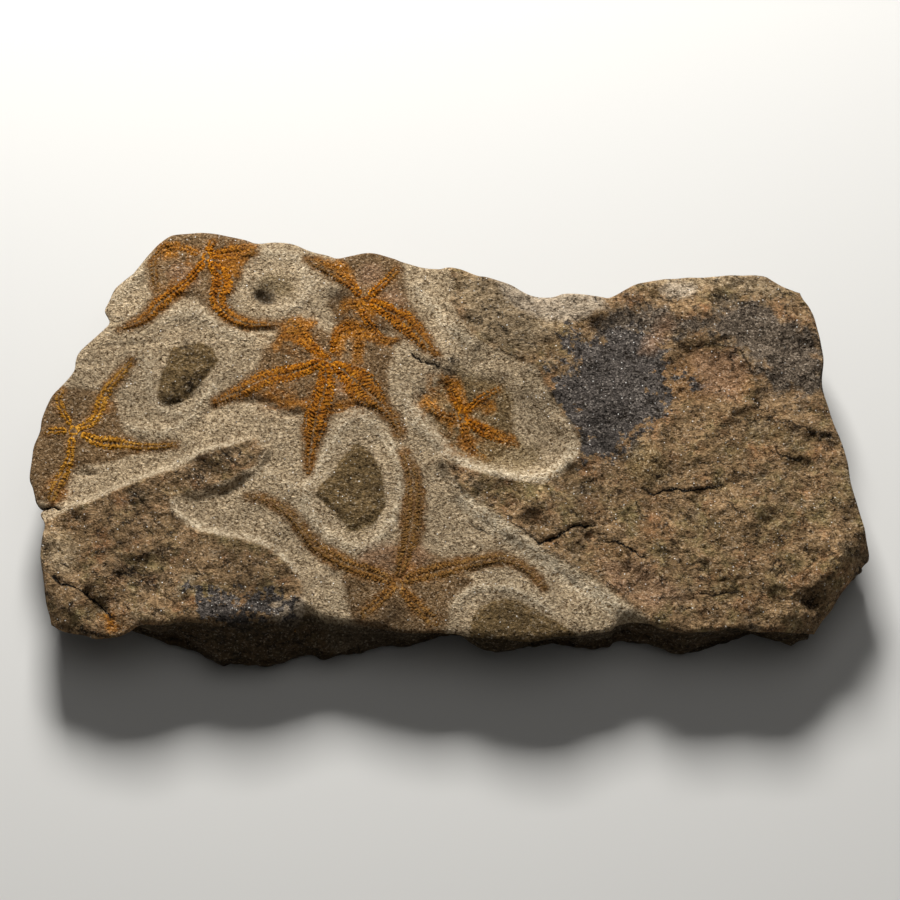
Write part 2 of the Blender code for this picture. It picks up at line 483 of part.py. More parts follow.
def make_star(collection, tree, name, centre, arms):
    """One brittle star: a small disc and five arms, lofted over the rock it lies on."""
    def place(bm, spot, lift):
        z = rock_height(tree, *spot) + STAR_GAP + lift
        return bm.verts.new((spot[0] * MM, spot[1] * MM, z * MM))

    bm = bmesh.new()
    bearing = sorted(arms, key=lambda arm: math.atan2(arm[0][1] - centre[1], arm[0][0] - centre[0]))
    roots = []
    for arm in bearing:
        sections = arm_sections(bm, arm, place)
        for (top, foot), (next_top, next_foot) in zip(sections, sections[1:]):
            skin_strip(bm, top, next_top)
            skin_strip(bm, foot, next_foot)
            skin_strip(bm, (top[0], foot[0]), (next_top[0], next_foot[0]))
            skin_strip(bm, (top[-1], foot[-1]), (next_top[-1], next_foot[-1]))
        tip_top, tip_foot = sections[-1]
        bm.faces.new(tip_top + tip_foot[::-1])
        roots.append(sections[0])
    mouth = place(bm, centre, STAR_GROOVE)
    below = place(bm, centre, 0)
    for (top, foot), (next_top, next_foot) in zip(roots, roots[1:] + roots[:1]):
        for hub, row, following in ((mouth, top, next_top), (below, foot, next_foot)):
            ring = row + following[:1]
            for a, b in zip(ring, ring[1:]):
                bm.faces.new((hub, a, b))
        bm.faces.new((top[-1], foot[-1], next_foot[0], next_top[0]))
    bmesh.ops.recalc_face_normals(bm, faces=bm.faces)
    mesh = bpy.data.meshes.new(name)
    bm.to_mesh(mesh)
    bm.free()
    mesh.materials.append(material("iron_stained_fossil", *FOSSIL))
    collection.objects.link(bpy.data.objects.new(name, mesh))


# ---------------------------------------------------------------- building
def material(name, colour, roughness_value):
    """A plain surface, made once for each name."""
    found = bpy.data.materials.get(name)
    if found:
        return found
    made = bpy.data.materials.new(name)
    made.use_nodes = True
    surface = made.node_tree.nodes["Principled BSDF"]
    surface.inputs["Base Color"].default_value = (*colour, 1)
    surface.inputs["Roughness"].default_value = roughness_value
    surface.inputs["Metallic"].default_value = 0
    made.diffuse_color = (*colour, 1)
    return made


def build():
    for item in list(bpy.data.objects):
        bpy.data.objects.remove(item, do_unlink=True)
    collection = bpy.data.collections.new("fossil_brittle_star_slab")
    bpy.context.scene.collection.children.link(collection)
    slab = make_slab(collection)
    graph = bpy.context.evaluated_depsgraph_get()
    tree = BVHTree.FromObject(slab, graph)
    for name, (centre, arms) in STARS.items():
        make_star(collection, tree, name, centre, arms)


build()
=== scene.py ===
"""The looks of a sandstone slab with six fossil brittle stars: its rock face, the stars and their light.

The slab's upper face is a bedding plane. Around the stars it has been scribed down by hand into pale
channels, which leave each star on a low mound and three patches of the old skin standing as islands.
"""

import math

import bpy
import numpy as np
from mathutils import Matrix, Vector, noise
from mathutils.bvhtree import BVHTree


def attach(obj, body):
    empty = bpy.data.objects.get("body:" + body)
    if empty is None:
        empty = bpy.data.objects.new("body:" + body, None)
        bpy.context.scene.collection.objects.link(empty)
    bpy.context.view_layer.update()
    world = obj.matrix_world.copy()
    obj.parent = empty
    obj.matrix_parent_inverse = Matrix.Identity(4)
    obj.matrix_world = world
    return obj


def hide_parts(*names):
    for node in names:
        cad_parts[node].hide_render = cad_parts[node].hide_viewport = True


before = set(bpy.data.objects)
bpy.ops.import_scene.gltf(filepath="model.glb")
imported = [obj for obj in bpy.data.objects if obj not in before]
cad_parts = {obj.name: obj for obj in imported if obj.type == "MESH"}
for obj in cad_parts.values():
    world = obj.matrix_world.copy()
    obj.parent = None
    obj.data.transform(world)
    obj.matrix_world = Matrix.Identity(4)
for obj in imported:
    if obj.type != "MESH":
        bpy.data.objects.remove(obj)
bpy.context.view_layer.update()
MM = 0.001

# ---------------------------------------------------------------- sizes of the rock, as in the solids (mm)
TOP = 24.0              # mean height of the old surface above the table
CHANNEL_DEPTH = 1.9     # how far the prepared channels lie below it
CHANNEL_SLOPE = 2.4     # width of the slope down into a channel
PLAIN_SLOPE = 6.0       # and of the gentler one along the channels' right side
MOUND_RISE = 0.6        # a star's mound above the channel floor
MOUND_SLOPE = 2.2       # width of the slope up to it
ARM_BANK = 0.5          # rock left beside each arm
LUMPS = 1.2             # lumps of the old surface, 7 and 13 mm across
ISLAND_RISE = 1.1       # an island's top above the channel floor
LEDGE_FALL = 0.65       # share of a ledge's drop that lies below the face around it
POCKET_DEPTH = 1.6      # the bowl around the right-hand star, below its channel
POCKET_SLOPE = 6        # width of the slope down into it
UNDERSIDE_BEVEL = 3.0   # height of the broken lower edge

# Grid the rock is shaped on: cells along, cells across, rows down the side
GRID_LONG = 400
GRID_ACROSS = 196
SIDE_ROWS = 14
ROW_HEIGHT = 1.2        # height of one row in the distances that the finish uses

# ---------------------------------------------------------------- outline of the upper face
# Four edges, each from left to right or from back to front
BACK_EDGE = (
    (-88, 57), (-85, 60.3), (-81, 62.5), (-75, 63.5), (-71, 63.6), (-66, 62.8), (-61, 61.8), (-56, 60.5),
    (-51, 61), (-46, 60.4), (-40.5, 58.3), (-36, 57), (-33, 56), (-29, 56.6), (-23, 57.6), (-18, 56.5),
    (-12, 54.5), (-6, 53), (2, 52), (8, 49.5), (11, 49), (17.5, 46.5), (22.5, 44), (29, 43), (34, 44),
    (43.5, 43), (47, 43), (55, 47), (62, 48.5), (69.5, 49), (78, 49.5), (84, 49.5), (92, 49.5), (97, 47),
    (101.5, 45),
)
FRONT_EDGE = (
    (-112.5, -55.5), (-109, -57.5), (-102.5, -59), (-99.5, -60), (-94, -60), (-90, -58.5), (-87, -57),
    (-81.5, -56.5), (-73, -55), (-64.5, -55.5), (-53.5, -55), (-46.5, -54), (-40, -52), (-35, -53.5),
    (-28, -55), (-19.5, -56.5), (-11, -58.5), (0, -58.5), (7, -60), (12.5, -60.5), (22.5, -61.5),
    (29.5, -60), (39.5, -58.5), (45, -57.5), (47, -56), (51, -55), (56, -56), (59.5, -57.5), (67.5, -58.5),
    (79, -57.5), (87, -58.5), (95, -58), (103, -57),
)
LEFT_EDGE = (
    (-88, 57), (-93.5, 49.5), (-97, 47.5), (-99, 42.5), (-100, 39.5), (-98.5, 36), (-100, 34), (-103, 31),
    (-107, 27), (-108, 24), (-108.5, 20.5), (-113, 14.5), (-115, 11.5), (-117, 6), (-117.5, 2), (-119, -2),
    (-119.5, -6), (-120, -12), (-119, -15), (-117.5, -20), (-115.5, -21), (-116.5, -23), (-115, -26.5),
    (-115.5, -30), (-116, -36), (-115, -42), (-114, -49.5), (-113, -53), (-112.5, -55.5),
)
RIGHT_EDGE = (
    (101.5, 45), (102.2, 42.8), (104, 40), (105.5, 35.5), (107, 28), (107.5, 23), (107, 16), (109, 7),
    (111.5, -0.5), (113.5, -8), (114, -13.5), (115, -18.5), (117, -25), (118, -29), (119.3, -34.5),
    (117.5, -37), (114, -41.5), (110.5, -46), (108, -50), (105.5, -53), (103, -57),
)
# How far the foot of the front side stands out from the upper edge, along x
FRONT_FOOT = (
    (-115, -10), (-92, -9.5), (-86, -4), (-75, 1.5), (-65, 7), (-50, 6.5), (-37, 6.5), (-25, 3),
    (-14, -1.5), (-3, -5), (4, -5), (8, -3), (13, -2), (22, -4.5), (31, -3.5), (43, -2), (55, 0), (67, 0),
    (78, -1.5), (86, -5), (92, -3.5), (97, -1.5), (104, -4),
)
OTHER_FOOT = -2.5       # the other sides lean in by this much
LEAN_ENDS = 0.55        # share of the way down where the lean ends

# ---------------------------------------------------------------- the prepared area and what it left
PREPARED = (
    (-130, -27), (-115.5, -25.5), (-106.5, -22.5), (-99.5, -19.5), (-94, -16), (-85.5, -13), (-77, -9.5),
    (-71, -6.5), (-65.5, -4), (-55.5, -1), (-53, -4), (-54, -6.5), (-57, -9.5), (-64, -14), (-71, -16.5),
    (-77, -17.5), (-79.5, -19.5), (-79, -22), (-75, -27), (-71, -29), (-62, -31), (-54, -33), (-50, -35),
    (-45, -40), (-42, -43.5), (-41, -49.5), (-40, -53), (-40, -70), (60, -70), (56, -55), (46.5, -47),
    (38, -41), (32.5, -38), (28, -35), (20, -28.5), (11.5, -22), (5.5, -18), (1.5, -13.5), (-1.5, -7.5),
    (5.5, -10.5), (11.5, -12.5), (17, -13.5), (25.5, -15), (31, -12.5), (34, -9.5), (36.5, -6.5), (37, -2),
    (35.5, 2), (32, 7), (29, 12), (26.5, 17), (24.5, 21), (18.5, 23), (14.5, 26), (8.5, 29), (3, 35.5),
    (0, 41.5), (1.5, 46.5), (0, 51.5), (0, 70), (-130, 70),
)
ISLANDS = (
    # the pointed island in the middle
    ((-26.5, -1), (-22.5, -4.5), (-20, -9), (-19, -13.5), (-18.5, -18), (-18.5, -22), (-21.5, -25.5),
     (-25.5, -28), (-28.5, -28.5), (-30.5, -25.5), (-34, -22), (-38.5, -17.5), (-36.5, -14),
     (-34, -11.5), (-31.5, -7), (-28.5, -3)),
    # the egg-shaped island on the left
    ((-80.5, 27.5), (-76.5, 28.5), (-72, 29), (-68.5, 27.5), (-66.5, 23.5), (-69.5, 19.5),
     (-72.5, 15.5), (-76, 11.5), (-79, 10), (-82.5, 10), (-84, 12.5), (-83.5, 17.5), (-81.5, 23.5)),
    # the island at the front edge
    ((5.5, -57.5), (6, -54), (8.5, -51), (12, -49), (15.5, -48.5), (19.5, -49.5), (26.5, -53.5),
     (33.5, -57.5), (40, -62), (5, -66)),
)
MOUNDS = (
    ((-122, 17), (-112, 15.5), (-101.5, 14.5), (-96, 11), (-93, 1), (-85.5, -3.5), (-97, -7.5), (-107, -9),
     (-111, -19.5), (-122, -19.5)),
    ((-87, 57.5), (-81.5, 66), (-56.5, 66), (-57.5, 57.5), (-60, 51), (-61.5, 45), (-64, 41.5), (-71, 41),
     (-75, 44), (-82.5, 41.5), (-86, 45)),
    ((-52.5, 29), (-49, 35.5), (-40.5, 36), (-34.5, 32.5), (-30.5, 36), (-18.5, 32.5), (-16, 26), (-18, 20),
     (-17, 11), (-26, 10), (-34.5, 7.5), (-43, 7), (-51.5, 11), (-60, 13), (-64.5, 11.5), (-57.5, 18.5)),
    ((-35, 53.5), (-29, 60), (-14.5, 60), (-13.5, 49.5), (-11.5, 41.5), (-6, 32.5), (-14.5, 32.5),
     (-21.5, 32.5), (-31.5, 34), (-36, 41.5), (-32, 46.5)),
    ((-31, -42), (-27.5, -54.5), (-15.5, -64), (-1.5, -64), (0, -49.5), (7, -43), (0, -36), (-5.5, -34.5),
     (-11, -31.5), (-14, -31.5), (-24, -35)),
    ((-5.5, 12.5), (1.5, 18.5), (14.5, 17), (18, 11), (18.5, -1.5), (13, -7), (4.5, -4.5), (-3, 1.5)),
)
POCKET = ((-9, 14), (0, 21), (16, 21), (25, 14), (32, 3), (32, -6), (22, -12), (10, -10), (0, -6), (-8, 4))

# Ledges run from left to right, with the lower rock in front: points, drop, width of the fall
LONG_STEP = ((52.5, -15.5), (58.5, -17), (64, -16.5), (68, -17), (72.5, -16.5), (79.5, -14.5))
RIGHT_STEP = ((66.5, 29), (72, 27.5), (78, 27.5), (83.5, 24.5), (86, 20), (88, 15.5))
LEDGES = (
    (LONG_STEP, 0.75, 9),
    (((22.5, -30), (27, -31.5), (31, -30), (34, -27.5), (39.5, -26.5)), 0.8, 7),
    (((42.5, -31.5), (48, -33), (53.5, -36)), 0.6, 7),
    (RIGHT_STEP, 0.55, 9),
    (((88.5, 6), (100, 1.5), (111.5, -0.5)), 0.7, 9),
    (((93, -3), (95.5, -7.5), (103, -7)), 0.45, 6),
    (((65.5, -6), (68.5, -8), (72.5, -8), (79.5, -6.5)), 0.4, 6),
    (((1.5, -13.5), (6.5, -18.5), (14, -23), (18.5, -27)), 0.2, 3),
    (((78, -19.5), (82.5, -25.5)), 0.4, 5),
    (((25.5, -15), (30, -18.5), (35.5, -22.5)), 0.45, 6),
    (((-11, 25.5), (-7, 23), (-3, 21)), 0.9, 6),
    (((3, 36), (8, 32.5), (14.5, 27)), 0.4, 5),
    (((1.5, -25.5), (8.5, -27), (17, -29)), 0.3, 4),
    (((-111.5, -42), (-107, -46), (-103, -48), (-95, -52.5)), 0.75, 8),
    (((-119.5, -20), (-115.5, -21), (-108.5, -22)), 1.1, 5),
    (((69, -46), (76, -47.5), (84, -47)), 0.6, 8),
)
# Pits and lumps: x, y, radius, height
SPOTS = (
    (-54.5, 44, 2.6, -2.2), (102, -49, 2.4, -4), (-90.5, -41, 4, -0.7), (-45, -22, 4, -0.5),
    (-50.5, 49, 3.4, 1.3), (-7, 10, 2.2, 0.8), (76, 20, 8, 0.9), (52, -58, 5, -2.2), (-104, -30, 11, 0.9),
    (-66, -44, 9, 0.5), (50, 8, 12, 0.5), (28, -21, 9, 0.7), (92, -30, 14, 0.6),
)
# Corners broken away: a point on the upper edge of the break, the way it faces, its slope
BREAKS = (
    ((101, -47), (0.75, -0.66), 0.65),
    ((111, -38), (0.80, -0.60), 0.6),
    ((-108, -51), (-0.6, -0.8), 0.55),
    ((-92, 50), (-0.75, 0.66), 0.6),
    ((100, 43.5), (0.6, 0.8), 0.5),
)

# ---------------------------------------------------------------- the brittle stars
# Each arm is its centre line outward from the mouth, with its width at each point
STARS = {
    "brittle_star_top_left": ((-70.5, 55.6), (
        ((-72.2, 53.1, 2.6), (-74.7, 49.7, 2.6), (-78.1, 46.2, 3.1), (-81.5, 43.4, 3.7), (-84.6, 40.6, 4.3),
         (-87.4, 37.5, 3.4), (-90.8, 35, 2.3), (-95.1, 33.5, 1.1)),
        ((-73.7, 56.9, 2.3), (-77.8, 58.5, 2.6), (-81.9, 58.5, 2.6), (-85, 56.6, 2.3), (-86.1, 53.4, 2.3),
         (-85.7, 49.7, 2.6), (-84.8, 45.6, 2.3), (-83.8, 43.1, 1.4)),
        ((-70, 58.2, 2.3), (-69.4, 59.7, 2.6), (-68.8, 60.7, 2.3)),
        ((-68.5, 56.3, 2.6), (-65, 56.9, 4), (-61.5, 57.2, 4.9), (-58.3, 57.5, 4)),
        ((-69, 53.1, 2.9), (-66.6, 50.3, 5.7), (-66, 46.6, 6.3), (-67.3, 42.5, 5.1), (-65.8, 39.1, 4.3),
         (-62.3, 36.3, 3.7), (-57.7, 34.7, 2.6), (-54.2, 34.6, 1.7), (-51, 34.7, 1.1)),
    )),
    "brittle_star_left": ((-107.7, 1.8), (
        ((-109.2, 4.6, 2), (-111.3, 8.2, 2.3), (-112.3, 11.6, 2.3), (-111.5, 14.4, 1.4)),
        ((-105.7, 3, 2.3), (-102.4, 4.6, 2.9), (-100.7, 7.9, 3.1), (-99.7, 11.9, 3.4), (-97.8, 15.6, 3.1),
         (-95.3, 19, 2.6), (-93.1, 22, 2.3), (-91.7, 23.9, 1.1)),
        ((-104.5, 0.3, 2.3), (-100.8, -1.2, 3.4), (-96.5, -1.8, 4), (-92.5, -2.1, 3.1), (-88.4, -2.7, 2.3),
         (-83.3, -2.7, 1.7), (-78.5, -2.1, 1.1)),
        ((-108.2, -1.2, 2.3), (-108.4, -4.9, 2.6), (-109.4, -8.8, 3.1), (-111, -12.4, 3.7),
         (-112.6, -15.8, 4), (-113.3, -18.5, 2.6)),
        ((-110.6, 1.8, 2), (-113.4, 1.8, 2.6), (-115.7, 1.8, 1.7)),
    )),
    "brittle_star_centre": ((-35.4, 23.9), (
        ((-38.2, 22.4, 3.4), (-42.2, 20.8, 4.6), (-46.5, 19.6, 5.1), (-51.1, 18.7, 5.4), (-55.1, 17.1, 5.4),
         (-59.1, 15, 4.9), (-63.1, 13.1, 3.4), (-67.3, 11.3, 1.7)),
        ((-37.4, 25.7, 2.6), (-40.3, 27.9, 3.4), (-42.6, 30.4, 5.7), (-44.4, 32.6, 6.8), (-45.9, 34.7, 4)),
        ((-35.9, 20.8, 3.7), (-35.6, 17.1, 5.4), (-36.4, 12.8, 6.3), (-37.8, 8.2, 7.1), (-38.6, 4.3, 6.8),
         (-39.4, 0, 4.9), (-39.9, -4.3, 3.1), (-40.2, -8.5, 2), (-40.4, -10.9, 1.1)),
        ((-32.8, 22, 3.4), (-29.6, 19.3, 6.6), (-26.1, 16.2, 9.4), (-22.6, 12.8, 7.7), (-19.5, 9.5, 4),
         (-16.9, 6.7, 3.1), (-15.1, 3.7, 2.9), (-14.6, 0.6, 2)),
        ((-33.7, 27, 2), (-33.4, 30.1, 2), (-32, 32.9, 2.3), (-29.7, 34.4, 2.3), (-27.4, 33.5, 2),
         (-26.5, 30.7, 2.3), (-26.5, 27, 2.3), (-27, 23.3, 1.7)),
    )),
    "brittle_star_top": ((-24.6, 41.9), (
        ((-26.6, 44.4, 2.6), (-28.9, 47.2, 3.1), (-31.9, 49.7, 3.4), (-35.4, 51.9, 3.1), (-38.8, 53.8, 2.6),
         (-41.2, 55, 1.7)),
        ((-22.6, 44.4, 2.3), (-20, 46.9, 2.6), (-17.4, 49.7, 2.6), (-15.6, 52.2, 2.3)),
        ((-22, 41.3, 3.4), (-18.5, 39.4, 4.9), (-15, 37.2, 6.3), (-11.8, 34.4, 6.3), (-8.9, 31, 5.1),
         (-6.3, 27.6, 3.4), (-3.7, 24.8, 1.4)),
        ((-27.2, 40.9, 2.9), (-29.7, 40.3, 3.1), (-31.8, 38.8, 2.3), (-32.3, 37.2, 1.4)),
        ((-25.4, 38.8, 2), (-24.8, 36.9, 2), (-22.8, 34.4, 2.3), (-20.5, 31.6, 2.3), (-17.9, 29.8, 2),
         (-15.3, 30.1, 1.4)),
    )),
    "brittle_star_right": ((3.7, 7), (
        ((5.2, 8.8, 2.3), (7.7, 11.3, 2.6), (10.6, 13.4, 2.6), (14.1, 15.3, 1.4)),
        ((5.7, 4.9, 2.6), (9.1, 2.7, 3.7), (12.9, 0.9, 3.7), (16.3, -0.6, 2.6), (18.6, -1.8, 1.4)),
        ((4, 4, 2.3), (4.6, 0.3, 2.3), (6.6, -3, 2.3), (11.1, -6.7, 1.1)),
        ((1.1, 6.7, 2.3), (-1.7, 6.7, 2.6), (-4.9, 8.5, 2.3), (-6.9, 10.7, 1.7)),
        ((2.6, 9.8, 2.6), (1.4, 12.5, 2.9), (0.3, 15.3, 2.6), (-0.9, 18, 1.7)),
    )),
    "brittle_star_front": ((-14.7, -43.9), (
        ((-17.2, -43, 2.6), (-21.2, -41.2, 4), (-26, -39.7, 4.3), (-30.5, -37.6, 4), (-34.5, -35.2, 3.7),
         (-38.2, -32.6, 3.4), (-41.3, -29, 3.1), (-44.2, -24.8, 2.9), (-47.7, -21.5, 2.6),
         (-52, -19.1, 2.3), (-57.4, -17.6, 1.4)),
        ((-14.4, -40.9, 2.6), (-13, -36.7, 4.3), (-11.9, -32.3, 5.1), (-11, -27.5, 5.4),
         (-10.5, -22.4, 5.4), (-10.2, -17.6, 5.1), (-10.5, -12.7, 4), (-11.7, -8.5, 3.1), (-13.1, -4.6, 2)),
        ((-11.8, -42.7, 3.1), (-7.1, -41.2, 4.3), (-1.4, -40, 4.9), (4.2, -38.5, 4.3), (9.9, -37.3, 3.7),
         (15, -36.7, 3.1), (19.2, -38.2, 2.6), (23.1, -41.2, 2), (26.8, -45.4, 1.1)),
        ((-16.6, -45.7, 2.6), (-18.9, -48, 3.1), (-21.7, -50.7, 3.1), (-24.5, -53, 2.6)),
        ((-13.2, -46.2, 2.6), (-10.7, -49.2, 3.7), (-7.6, -52.5, 4), (-4.5, -55.4, 3.4)),
    )),
}


# ---------------------------------------------------------------- curves and distances
def smooth_line(points, steps=6):
    """Catmull-Rom curve through an open row of points."""
    p = np.array(points, float)
    p = np.vstack([2 * p[0] - p[1], p, 2 * p[-1] - p[-2]])
    t = np.linspace(0, 1, steps, endpoint=False)[:, None]
    runs = []
    for a, b, c, d in zip(p[:-3], p[1:-2], p[2:-1], p[3:]):
        runs.append(0.5 * (2 * b + (c - a) * t + (2 * a - 5 * b + 4 * c - d) * t ** 2
                           + (3 * b - a - 3 * c + d) * t ** 3))
    return np.vstack(runs + [p[-2:-1]])


def resample(line, count):
    """The same line as count points at equal spacing."""
    reach = np.concatenate([[0], np.cumsum(np.linalg.norm(np.diff(line[:, :2], axis=0), axis=1))])
    at = np.linspace(0, reach[-1], count)
    return np.stack([np.interp(at, reach, column) for column in line.T], axis=1)


def nearest_on_line(xy, line):
    """Distance to a line, the side of it (+ on its left) and how far along it that is (0 to 1)."""
    line = np.array(line, float)
    best = np.full(len(xy), np.inf)
    side = np.zeros(len(xy))
    along = np.zeros(len(xy))
    for k, (a, b) in enumerate(zip(line[:-1], line[1:])):
        run = b - a
        t = np.clip((xy - a) @ run / (run @ run), 0, 1)
        off = xy - a - t[:, None] * run
        distance = np.hypot(off[:, 0], off[:, 1])
        closer = distance < best
        best = np.where(closer, distance, best)
        side = np.where(closer, np.sign(run[0] * off[:, 1] - run[1] * off[:, 0]), side)
        along = np.where(closer, (k + t) / (len(line) - 1), along)
    return best, side, along


def depth_inside(xy, corners):
    """Distance to an outline's edge, positive inside it."""
    ring = np.array(corners + corners[:1], float)
    distance = nearest_on_line(xy, ring)[0]
    inside = np.zeros(len(xy), bool)
    for a, b in zip(ring[:-1], ring[1:]):
        spans = (a[1] > xy[:, 1]) != (b[1] > xy[:, 1])
        rise = b[1] - a[1] if b[1] != a[1] else 1.0
        inside ^= spans & (xy[:, 0] < a[0] + (b[0] - a[0]) * (xy[:, 1] - a[1]) / rise)
    return np.where(inside, distance, -distance)


def deepest(xy, outlines):
    """Distance inside the nearest of several outlines, negative outside them all."""
    return np.max([depth_inside(xy, corners) for corners in outlines], axis=0)


def ease(value):
    """0 below 0, 1 above 1, smooth between."""
    t = np.clip(value, 0, 1)
    return t * t * (3 - 2 * t)


def roughness(xy, size, seed):
    """Smooth noise about 0, with lumps of the given size."""
    return np.array([noise.noise(Vector((x / size, y / size, seed))) for x, y in xy])


def tapered(along, ends):
    """1 along a line and 0 at both ends; a higher number keeps the fall nearer to the ends."""
    return np.clip(ends * along * (1 - along), 0, 1)


def layered(xy, *waves):
    """Several smooth noises together: height, size of the lumps and seed of each."""
    return sum(height * roughness(xy, size, seed) for height, size, seed in waves)


def swell(xy, x, y, radius):
    """1 at a place of the plan, falling away to 0 around it."""
    return np.exp(-((xy[:, 0] - x) ** 2 + (xy[:, 1] - y) ** 2) / radius ** 2)


# ---------------------------------------------------------------- shape of the slab
def arm_reach(xy, arm, steps=4):
    """For points of the plan: their distance and side from an arm's midline, half its width there and
    how far along it they are, in millimetres."""
    line = smooth_line(arm, steps)
    lengths = np.linalg.norm(np.diff(line[:, :2], axis=0), axis=1)
    places = np.linspace(0, 1, len(line))
    distance, side, along = nearest_on_line(xy, line[:, :2])
    half = np.interp(along, places, line[:, 2]) / 2
    return distance, side, half, np.interp(along, places, np.concatenate([[0], np.cumsum(lengths)]))


def arms_reach(xy, steps=4):
    """Distance beyond the edge of the nearest star's arm, negative inside it."""
    reach = np.full(len(xy), np.inf)
    for _, arms in STARS.values():
        for arm in arms:
            distance, _, half, _ = arm_reach(xy, arm, steps)
            reach = np.minimum(reach, distance - half)
    return reach


def top_height(xy):
    """Height of the upper face at points of the plan, without the wear of its edge."""
    z = TOP + layered(xy, (1.3, 46, 3.1), (0.9, 17, 8.7), (0.5, 6, 1.9))
    wobble = 0.9 * roughness(xy, 5, 4.4)
    # The slopes turn gentler from 6 mm left of the slab's middle to 6 mm right of it
    slope = CHANNEL_SLOPE + (PLAIN_SLOPE - CHANNEL_SLOPE) * ease((xy[:, 0] + 6) / 12)
    prepared = ease((depth_inside(xy, PREPARED) + wobble) / slope)
    mound = np.maximum(deepest(xy, MOUNDS), ARM_BANK - arms_reach(xy, steps=3))
    mound = ease((mound + 0.5 * wobble) / MOUND_SLOPE)
    island = ease((deepest(xy, ISLANDS) + wobble) / CHANNEL_SLOPE)
    pocket = ease((depth_inside(xy, POCKET) + wobble) / POCKET_SLOPE)
    left = np.maximum(MOUND_RISE * mound, ISLAND_RISE * island)
    z += prepared * (left - CHANNEL_DEPTH - POCKET_DEPTH * pocket)
    z += (1 - prepared) * LUMPS * layered(xy, (1, 7, 51.0), (1.4, 13, 52.0))
    for line, drop, width in LEDGES:
        distance, side, along = nearest_on_line(xy, line)
        fade = np.exp(-distance / width) * np.sqrt(tapered(along, 4))
        z += np.where(side < 0, -LEDGE_FALL, 1 - LEDGE_FALL) * drop * fade * np.clip(distance / 0.8, 0.2, 1)
    for x, y, radius, height in SPOTS:
        z += height * swell(xy, x, y, radius)
    for point, facing, slope in BREAKS:
        beyond = (xy - np.array(point)) @ np.array(facing)
        z -= slope * np.clip(beyond, 0, None)
    return z


